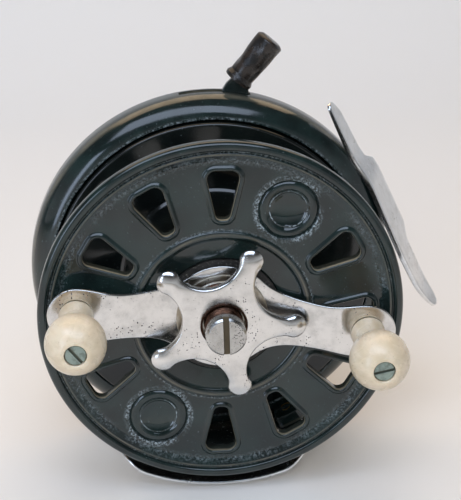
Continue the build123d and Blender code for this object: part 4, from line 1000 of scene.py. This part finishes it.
class REEL_OT_knobs(bpy.types.Operator):
    """Makes both ball knobs and their end screws"""

    bl_idname = "reel.knobs"
    bl_label = "Knobs"

    def execute(self, context):
        sizes = context.scene.reel_crank
        throw, ball = sizes.knob_throw / MM, sizes.ball / MM
        ball_at, neck_end, face_angle = 19.0, 11.35, 59.5
        spots = []
        for name, turn, slot_angle in (("right", 0.0, 12.0), ("left", 180.0, -52.0)):
            x, z = polar(throw, CRANK_ANGLE + turn)
            neck = [(5.4, -0.35), (5.42, -0.8), (5.25, -1.8), (4.98, -3.6), (4.75, -6.0), (4.68, -8.2),
                    (4.8, -9.9), (5.15, -11.1)]
            start = degrees(asin((ball_at - neck_end) / ball))
            sweep = []
            for k in range(35):
                angle = radians(-start + (start + face_angle) * k / 34)
                sweep.append((ball * cos(angle), -ball_at - ball * sin(angle)))
            face = [(4.3, -27.1), (3.45, -27.1), (3.3, -26.95), (3.3, -25.1), (2.26, -25.1), (2.26, -0.35)]
            profile = neck + sweep + face

            def stand(point, x=x, z=z):
                return Vector((x + point.x, ARM_FACE + point.y, z + point.z))

            vertices, faces = lathe_data(profile, 96, closed=True)
            piece = finish_mesh("knob_" + name + "_ball", [stand(Vector(point)) for point in vertices], faces,
                                finish("ivory"), 40)
            mount(piece, name + "_knob", "ivory_plastic", "knob_" + name)
            spots.append(((x, ARM_FACE - 25.2, z), (0.0, -1.0, 0.0), slot_angle))
        screw = slotted_screw(1.1, 8.0, 3.2, 1.4, 0.85, 0.8)
        screw_group("knob_end_screws", "crank", "steel", ["knob_screws"], screw, spots, finish("end_screw"))
        return {"FINISHED"}


# ------------------------------------------------------------------ frame, foot, guard and lever
def on_barrel(radius, centre_angle):
    """Bends (arc length, place, depth) round the reel's axis, depth running inwards."""
    def bend(u, v, depth):
        x, z = polar(radius - depth, centre_angle - degrees(u / radius))
        return x, v, z
    return bend


def round_slab(half_u, low, high, rounding, spacing, flare=0.0):
    """Rounded rectangle centred on u = 0, wider by flare at its high end, anticlockwise."""
    corners = [(half_u, low, rounding), (half_u + flare, high, 0.8), (-half_u - flare, high, 0.8),
               (-half_u, low, rounding)]
    return resample(rounded_loop(corners, 10), spacing)


class REEL_OT_frame(bpy.types.Operator):
    """Makes the moulded rear frame with its slot and lugs, and the hardware on its back"""

    bl_idname = "reel.frame"
    bl_label = "Rear Frame"

    def execute(self, context):
        nose_r, nose_z = 51.6, FRAME_NOSE_AT
        sweep = [(nose_r + 9.0 * cos(radians(a)), nose_z - 9.0 * sin(radians(a))) for a in range(0, 76, 5)]
        bore = [(53.75, 18.66), (53.48, 18.95), (53.4, 19.4)]
        back = rounded([
            (60.6, nose_z), (60.6, FRAME_BACK, 7.5), (47.6, FRAME_BACK, 0.2), (47.3, FRAME_BACK - 0.65, 0.2),
            (46.3, FRAME_BACK - 0.65, 0.2), (46.0, FRAME_BACK, 0.2), (15.6, FRAME_BACK, 0.4),
            (14.9, FRAME_BACK + 1.49, 0.6), (4.0, FRAME_BACK + 1.49)], 9)
        inside_wall = rounded([
            (4.0, 25.4), (9.0, 25.4, 0.3), (9.0, 29.6, 0.1), (13.0, 29.6, 0.3), (13.0, 33.5, 0.8),
            (53.4, 33.5, 2.5), (53.4, 19.4)], 6)
        profile = list(reversed(sweep)) + back[1:] + inside_wall + list(reversed(bore))
        vertices, faces = lathe_data(profile, 240, closed=True)
        body = finish_mesh("frame_moulding", vertices, faces, finish("frame"), 38)
        middle = LEVER_ANGLE + 6.5
        x, z = polar(57.5, middle)
        cut(body, block((x, LEVER_FRONT + 1.0, z), (23.4, 3.0, 12.0), middle - 90))
        mount(body, "frame", "bakelite_green_black", "rear_frame")
        for side, label in ((-1, "left"), (1, "right")):
            shape = round_slab(5.0, 10.6, 24.0, 1.6, 0.6)
            lug = plate("frame_lug_" + label, shape, 4.75, 0.5,
                        on_barrel(GUARD_R - 0.03, GUARD_ANGLE + side * LUG_SPREAD),
                        finish("frame"), spacing=1.5)
            mount(lug, "frame", "bakelite_green_black")
        self.spindle_end()
        return {"FINISHED"}

    def spindle_end(self):
        """Washer, nut and spindle end on the frame's back."""
        washer = lathe("back_washer", [(4.0, 39.0), (8.5, 39.0, 0.25), (8.5, 40.19, 0.3), (4.0, 40.19)],
                       finish("screw"), 72)
        mount(washer, "frame", "steel", "spindle_washer")
        ring = rounded_loop([(*polar(7.5, 60 * k), 0.7) for k in range(6)], 5)
        hole = round_hole((0.0, 0.0), 4.0, 40)
        nut = plate("back_nut", resample(ring, 0.7), 3.98, 0.6, lambda u, v, d: (u, 44.19 - d, v),
                    finish("bright_screw"), [hole], 1.5)
        mount(nut, "frame", "chrome_plate", "spindle_nut")


class REEL_OT_foot(bpy.types.Operator):
    """Makes the rod foot, bent from one strip, and its screws"""

    bl_idname = "reel.foot"
    bl_label = "Rod Foot"

    def execute(self, context):
        lean, bend_r, turn = radians(FOOT_TILT), 2.0, radians(90 + FOOT_TILT)
        outward = Vector((cos(lean), -sin(lean)))
        along = Vector((sin(lean), cos(lean)))
        seat = Vector((51.6 + 9.0 * cos(lean), FRAME_NOSE_AT - 9.0 * sin(lean)))
        bend_at = (FRAME_BACK - bend_r - seat.y + bend_r * outward.y) / along.y
        centre = seat + along * bend_at - outward * bend_r
        arc_len = turn * (bend_r + FOOT_T / 2)
        spin = about_axis(FOOT_ANGLE)

        def fold(w, t, depth):
            height = FOOT_T - depth
            # ground thinner towards both ends
            thin = min(max((abs(t + 8.0) - 24.0) / 18.0, 0.0), 1.0)
            height *= 1.0 - 0.35 * thin
            # the long end turns up at its tip, and the short end is set 2 mm lower
            if t < -33.0:
                height += 2.2 * ((-33.0 - t) / 17.0) ** 2
            bow = min(max((t - 1.0) / 15.0, 0.0), 1.0)
            height -= 2.0 * bow * bow * (3 - 2 * bow)
            if w <= bend_at:
                spot = seat + along * w + outward * height
            else:
                angle = min((w - bend_at) / arc_len, 1.0) * turn
                ray = outward * cos(angle) + along * sin(angle)
                spot = centre + ray * (bend_r + height)
                spot += Vector((-1.0, 0.0)) * max(w - bend_at - arc_len, 0.0)
            return spin((spot.x, spot.y, t))

        leg = bend_at + arc_len + 25.0
        corners = [
            (-4.3, -7.0), (-5.0, -25.0, 30.0), (-3.9, -40.0, 20.0), (-0.6, -49.6, 3.6), (5.6, -49.6, 4.0),
            (7.1, -38.0, 20.0), (6.9, -24.6, 3.0), (11.5, -20.4, 5.0), (leg, -20.4, 7.0), (leg, 6.2, 7.0),
            (12.6, 6.2, 3.0), (7.3, 10.0, 1.0), (7.3, 28.0, 6.0), (3.4, 33.7, 3.8), (-0.6, 33.7, 2.2),
            (-1.6, 26.0, 14.0), (-4.3, -7.0)]
        loop = resample(rounded(corners, 8)[:-1], 0.9)
        screws = ((48.0, -15.0), (48.0, 1.0), (41.5, -7.0))
        holes = [round_hole((bend_at + arc_len + centre.x - h, t), 1.55, 24) for h, t in screws]
        foot = plate("rod_foot", loop, FOOT_T, 0.35, fold, finish("foot"), holes, 1.0)
        mount(foot, "frame", "chrome_plate", "foot_bracket")
        spots = []
        for i, (h, t) in enumerate(screws):
            place = spin((h, FRAME_BACK + FOOT_T, t))
            spots.append((place, (0.0, 1.0, 0.0), 35.0 + 50.0 * i))
        screw = slotted_screw(1.5, 5.2, 2.8, 1.65, 0.7, 0.8)
        screw_group("foot_screw_heads", "frame", "steel", ["foot_screws"], screw, spots, finish("screw"))
        return {"FINISHED"}


class REEL_OT_guard(bpy.types.Operator):
    """Makes the line guard strap and its screws"""

    bl_idname = "reel.guard"
    bl_label = "Line Guard"

    def execute(self, context):
        outer = GUARD_R + 1.0

        def roll(u, v, depth):
            # the front edge is flared outwards, a little more at its corners
            flare = 1.0 * min(max((-10.2 - v) / 3.0, 0.0), 1.0) ** 2
            corner = 0.5 * min(max((abs(u) - 24.0) / 9.0, 0.0), 1.0) * min(max((-4.0 - v) / 9.0, 0.0), 1.0)
            x, z = polar(outer - depth + flare * 0.9 + corner * 0.2, GUARD_ANGLE - degrees(u / outer))
            return x, v, z

        holes = []
        for side in (1, -1):
            holes.append(round_hole((-side * radians(LUG_SPREAD) * outer, GUARD_SCREW_Y), 1.5, 24))
        loop = round_slab(32.2, -13.1, 26.9, 9.5, 1.0, 3.2)
        strap = plate("line_guard_strap", loop, 0.98, 0.3, roll, finish("foot"), holes, 1.3)
        mount(strap, "frame", "chrome_plate", "line_guard")
        spots = []
        for side in (-1, 1):
            x, z = polar(1.0, GUARD_ANGLE + side * LUG_SPREAD)
            spots.append(((x * outer, GUARD_SCREW_Y, z * outer), (x, 0.0, z), 20.0))
        screw = slotted_screw(1.5, 5.3, 2.9, 0.85, 0.7, 0.5)
        screw_group("guard_screw_heads", "frame", "steel", ["guard_screws"], screw, spots, finish("screw"))
        return {"FINISHED"}


class REEL_OT_lever(bpy.types.Operator):
    """Makes the check lever's arm and its moulded grip"""

    bl_idname = "reel.lever"
    bl_label = "Check Lever"

    def execute(self, context):
        spin = about_axis(LEVER_ANGLE)
        lean = -31.7
        tip = Vector((63.6, 0.0))
        way = Vector(polar(1.0, lean))
        side = Vector((-way.y, way.x))
        tongue = [tip + way * 8.4 - side * 2.2, tip + way * 8.4 + side * 2.2, tip + way * 1.6 + side * 2.2]
        low = tip - side * 2.2 + way * 0.2
        corners = [(9.3, -3.2), (48.0, -4.4, 6.0), (61.0, -4.4, 0.8), (63.2, -3.4, 0.4),
                   (*low, 0.3), (*tongue[0], 0.6), (*tongue[1], 0.6), (*tongue[2], 0.3), (63.2, 3.4, 0.4),
                   (61.0, 4.4, 0.8), (48.0, 4.4, 6.0), (9.3, 3.2)]
        loop = resample(rounded_loop(corners, 5), 0.6)
        arm = plate("check_lever_arm", loop, 1.98, 0.35, lambda u, v, d: spin((u, LEVER_FRONT + d + 0.01, v)),
                    finish("arm"), spacing=2.0)
        mount(arm, "lever", "chrome_plate", "lever_arm")
        collar = lathe("check_lever_ring", [(9.1, LEVER_FRONT), (14.0, LEVER_FRONT, 0.3), (14.0, 29.48, 0.3),
                                            (9.1, 29.48)], finish("screw"), 72)
        mount(collar, "lever", "chrome_plate")
        corners = [(0.0, 0.05), (4.7, 0.05, 0.4), (4.95, 1.3, 0.5), (4.3, 2.5, 0.8), (4.4, 6.0, 8.0),
                   (4.85, 14.6, 3.0), (4.8, 16.7, 0.9), (3.6, 17.5, 0.9), (0.0, 17.6)]
        profile = rounded(corners, 6)
        fine = []
        for a, b in zip(profile, profile[1:]):
            pieces = max(1, round(hypot(b[0] - a[0], b[1] - a[1]) / 0.7))
            for k in range(pieces):
                fine.append((a[0] + (b[0] - a[0]) * k / pieces, a[1] + (b[1] - a[1]) * k / pieces))
        fine.append(profile[-1])
        base = Vector((64.2, LEVER_FRONT + 1.0, 0.0))
        twist = Matrix.Rotation(radians(-lean), 3, "Y")

        def stand(radius, rise, angle):
            # worn into three shallow sides, and hollowed where the thumb rests
            worn = 1.0 - 0.05 * max(0.0, sin(3.0 * angle + rise * 0.5)) * min(rise / 6.0, 1.0)
            worn -= 0.09 * max(0.0, cos(angle - 2.4)) ** 3 * min(max((rise - 5.0) / 6.0, 0.0), 1.0)
            point = twist @ Vector((rise, radius * worn * cos(angle), radius * worn * sin(angle)))
            return spin(base + point)

        vertices, faces = [], []
        turns, count = 56, len(fine)
        for i in range(turns):
            angle = 2 * pi * i / turns
            vertices += [stand(radius, rise, angle) for radius, rise in fine]
        for i in range(turns):
            j = (i + 1) % turns
            for k in range(count - 1):
                faces.append((i * count + k, i * count + k + 1, j * count + k + 1, j * count + k))
        grip = finish_mesh("check_lever_grip", vertices, faces, finish("rubber"), 50)
        mount(grip, "lever", "black_rubber", "lever_grip")
        return {"FINISHED"}


class REEL_OT_hardware(bpy.types.Operator):
    """Makes the centre screw and dresses the mechanism's inner parts"""

    bl_idname = "reel.hardware"
    bl_label = "Hardware"

    def execute(self, context):
        head = lathe("centre_screw_head", [
            (0.0, -31.2), (5.55, -31.2, 0.25), (6.25, -30.5, 0.3), (6.25, -27.1, 0.15), (2.5, -27.1),
            (2.5, -17.0), (0.0, -17.0)], finish("bright_screw"), 96)
        cut(head, block((0.0, -31.2, 0.0), (1.9, 3.0, 20.0), 1.7))
        # marks the slot floor for the dirt and painted shade of the screw's material
        dirt_and_shade = head.data.attributes.new("dirt_and_shade", "FLOAT", "POINT")
        for i, corner in enumerate(head.data.vertices):
            dirt_and_shade.data[i].value = 1.0 if -29.9 < corner.co.y / MM < -29.5 else 0.0
        mount(head, "frame", "chrome_plate", "centre_screw")
        dressing = {
            "spindle": "screw", "guard_inserts": "brass", "lever_retainer": "brass", "pawl_pin": "screw",
            "pawl_spring": "screw", "spring_post": "screw", "spool_screws": "screw", "spool_bush": "brass",
            "drag_washer_front": "leather", "drag_washer_rear": "leather", "ratchet_wheel": "screw",
            "spring_washer": "screw", "knob_pins": "screw", "lift_pin": "screw", "check_pawl": "screw",
        }
        for node, look in dressing.items():
            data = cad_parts[node].data
            data.materials.clear()
            data.materials.append(finish(look))
        return {"FINISHED"}


# ------------------------------------------------------------------ stage
class REEL_OT_stage(bpy.types.Operator):
    """Makes the floor, the lamps, the world and the camera"""

    bl_idname = "reel.stage"
    bl_label = "Stage"

    def execute(self, context):
        scene = context.scene
        self.floor()
        self.lamps(scene)
        self.world(scene)
        camera = bpy.data.objects.new("camera", bpy.data.cameras.new("camera"))
        camera.data.lens = 100.8
        camera.data.sensor_width = 36.0
        camera.location = (-0.0352, -0.4116, 0.1853)
        camera.rotation_euler = (radians(67.723), 0.0, radians(-5.456))
        scene.collection.objects.link(camera)
        scene.camera = camera
        scene.view_settings.view_transform = "Standard"
        return {"FINISHED"}

    def floor(self):
        """Pale card that curves up behind the reel, cool at the back and greyer near the camera."""
        low, near, far, rise = -62.95, -4000.0, 700.0, 900.0
        profile = [(near, low), (far - 300.0, low)]
        profile += [(far - 300.0 + 300.0 * sin(radians(a)), low + 300.0 - 300.0 * cos(radians(a)))
                    for a in range(6, 91, 6)]
        profile.append((far, rise))
        vertices, faces = [], []
        for y, z in profile:
            vertices += [(-4000.0, y, z), (4000.0, y, z)]
        for k in range(len(profile) - 1):
            faces.append((2 * k, 2 * k + 1, 2 * k + 3, 2 * k + 2))
        material, tree, place = new_material("matt_white_card")
        back = add(tree, "ShaderNodeSeparateXYZ", (place,), "Y")
        cool = add(tree, "ShaderNodeMapRange", (back, 60.0, 420.0))
        tone = add(tree, "ShaderNodeMix", {0: cool, 6: linear("e5e2de"), 7: linear("dfe4ea")}, 2,
                   data_type="RGBA")
        near = add(tree, "ShaderNodeMapRange", (back, -460.0, -110.0))
        tone = add(tree, "ShaderNodeMix", {0: near, 6: linear("c4c1bd"), 7: tone}, 2, data_type="RGBA")
        shader = add(tree, "ShaderNodeBsdfPrincipled", {"Base Color": tone, "Roughness": 0.9,
                                                        "Specular IOR Level": 0.1})
        add(tree, "ShaderNodeOutputMaterial", {"Surface": shader})
        sweep = finish_mesh("card_sweep", vertices, faces, material, 60, turn=False)

    def lamps(self, scene):
        """Soft lamps: a wide window high in front, a narrow one at the left, a warm wall behind, and
        two fill lamps that the gloss doesn't mirror."""
        for name, place, size, power, colour, mirrored in (
                ("window light", (-110.0, -330.0, 620.0), (0.85, 0.34), 3.3, "d6e6ff", True),
                ("side window", (-620.0, -520.0, 150.0), (0.16, 0.55), 1.3, "cfe2ff", True),
                ("overhead light", (60.0, -120.0, 900.0), (0.6, 0.4), 2.0, "ffffff", False),
                ("back light", (0.0, 420.0, 760.0), (1.3, 0.45), 4.0, "ffdfb8", True),
                ("front light", (-260.0, -1000.0, 480.0), (0.6, 0.5), 4.8, "fffdf8", False)):
            lamp = bpy.data.lights.new(name, "AREA")
            lamp.shape = "RECTANGLE"
            lamp.size, lamp.size_y = size
            lamp.energy = power
            lamp.color = linear(colour)[:3]
            holder = bpy.data.objects.new(name, lamp)
            holder.location = Vector(place) * MM
            holder.rotation_euler = Vector(place).to_track_quat("Z", "Y").to_euler()
            holder.visible_glossy = mirrored
            scene.collection.objects.link(holder)

    def world(self, scene):
        """Room light: pale walls and a dimmer ceiling for the bright plating to mirror."""
        world = bpy.data.worlds.new("pale room")
        world.use_nodes = True
        tree = world.node_tree
        tree.nodes.clear()
        aim = add(tree, "ShaderNodeTexCoord", out="Generated")
        height = add(tree, "ShaderNodeSeparateXYZ", (aim,), "Z")
        up = add(tree, "ShaderNodeMapRange", (height, 0.0, 0.5))
        tone = add(tree, "ShaderNodeMix", {0: up, 6: linear("e9edf2"), 7: linear("4a4947")}, 2,
                   data_type="RGBA")
        glow = add(tree, "ShaderNodeBackground", (tone, 0.68))
        add(tree, "ShaderNodeOutputWorld", (glow,))
        scene.world = world


STEPS = (REEL_OT_spool, REEL_OT_crank, REEL_OT_star, REEL_OT_knobs, REEL_OT_frame, REEL_OT_foot,
         REEL_OT_guard, REEL_OT_lever, REEL_OT_hardware, REEL_OT_stage)
GROUPS = {"reel_spool": ReelSpoolSizes, "reel_crank": ReelCrankSizes, "reel_finish": ReelFinish}


class REEL_PT_panel(bpy.types.Panel):
    """Lists the reel's pieces and their sizes"""

    bl_idname = "REEL_PT_panel"
    bl_label = "Centre-Pin Sea Reel"
    bl_space_type = "VIEW_3D"
    bl_region_type = "UI"
    bl_category = "Reel"

    def draw(self, context):
        layout = self.layout
        for name, group in GROUPS.items():
            box = layout.box()
            for key in group.__annotations__:
                box.prop(getattr(context.scene, name), key)
        for step in STEPS:
            layout.operator(step.bl_idname)


CLASSES = (*GROUPS.values(), *STEPS, REEL_PT_panel)


def register():
    """Registers the classes and the scene's settings."""
    for kind in CLASSES:
        bpy.utils.register_class(kind)
    for name, group in GROUPS.items():
        setattr(bpy.types.Scene, name, bpy.props.PointerProperty(type=group))


def unregister():
    """Removes the scene's settings and the classes."""
    for name in GROUPS:
        delattr(bpy.types.Scene, name)
    for kind in reversed(CLASSES):
        bpy.utils.unregister_class(kind)


def main():
    """Builds the looks."""
    register()
    for step in STEPS:
        group, action = step.bl_idname.split(".")
        getattr(getattr(bpy.ops, group), action)()


if __name__ == "__main__":
    main()
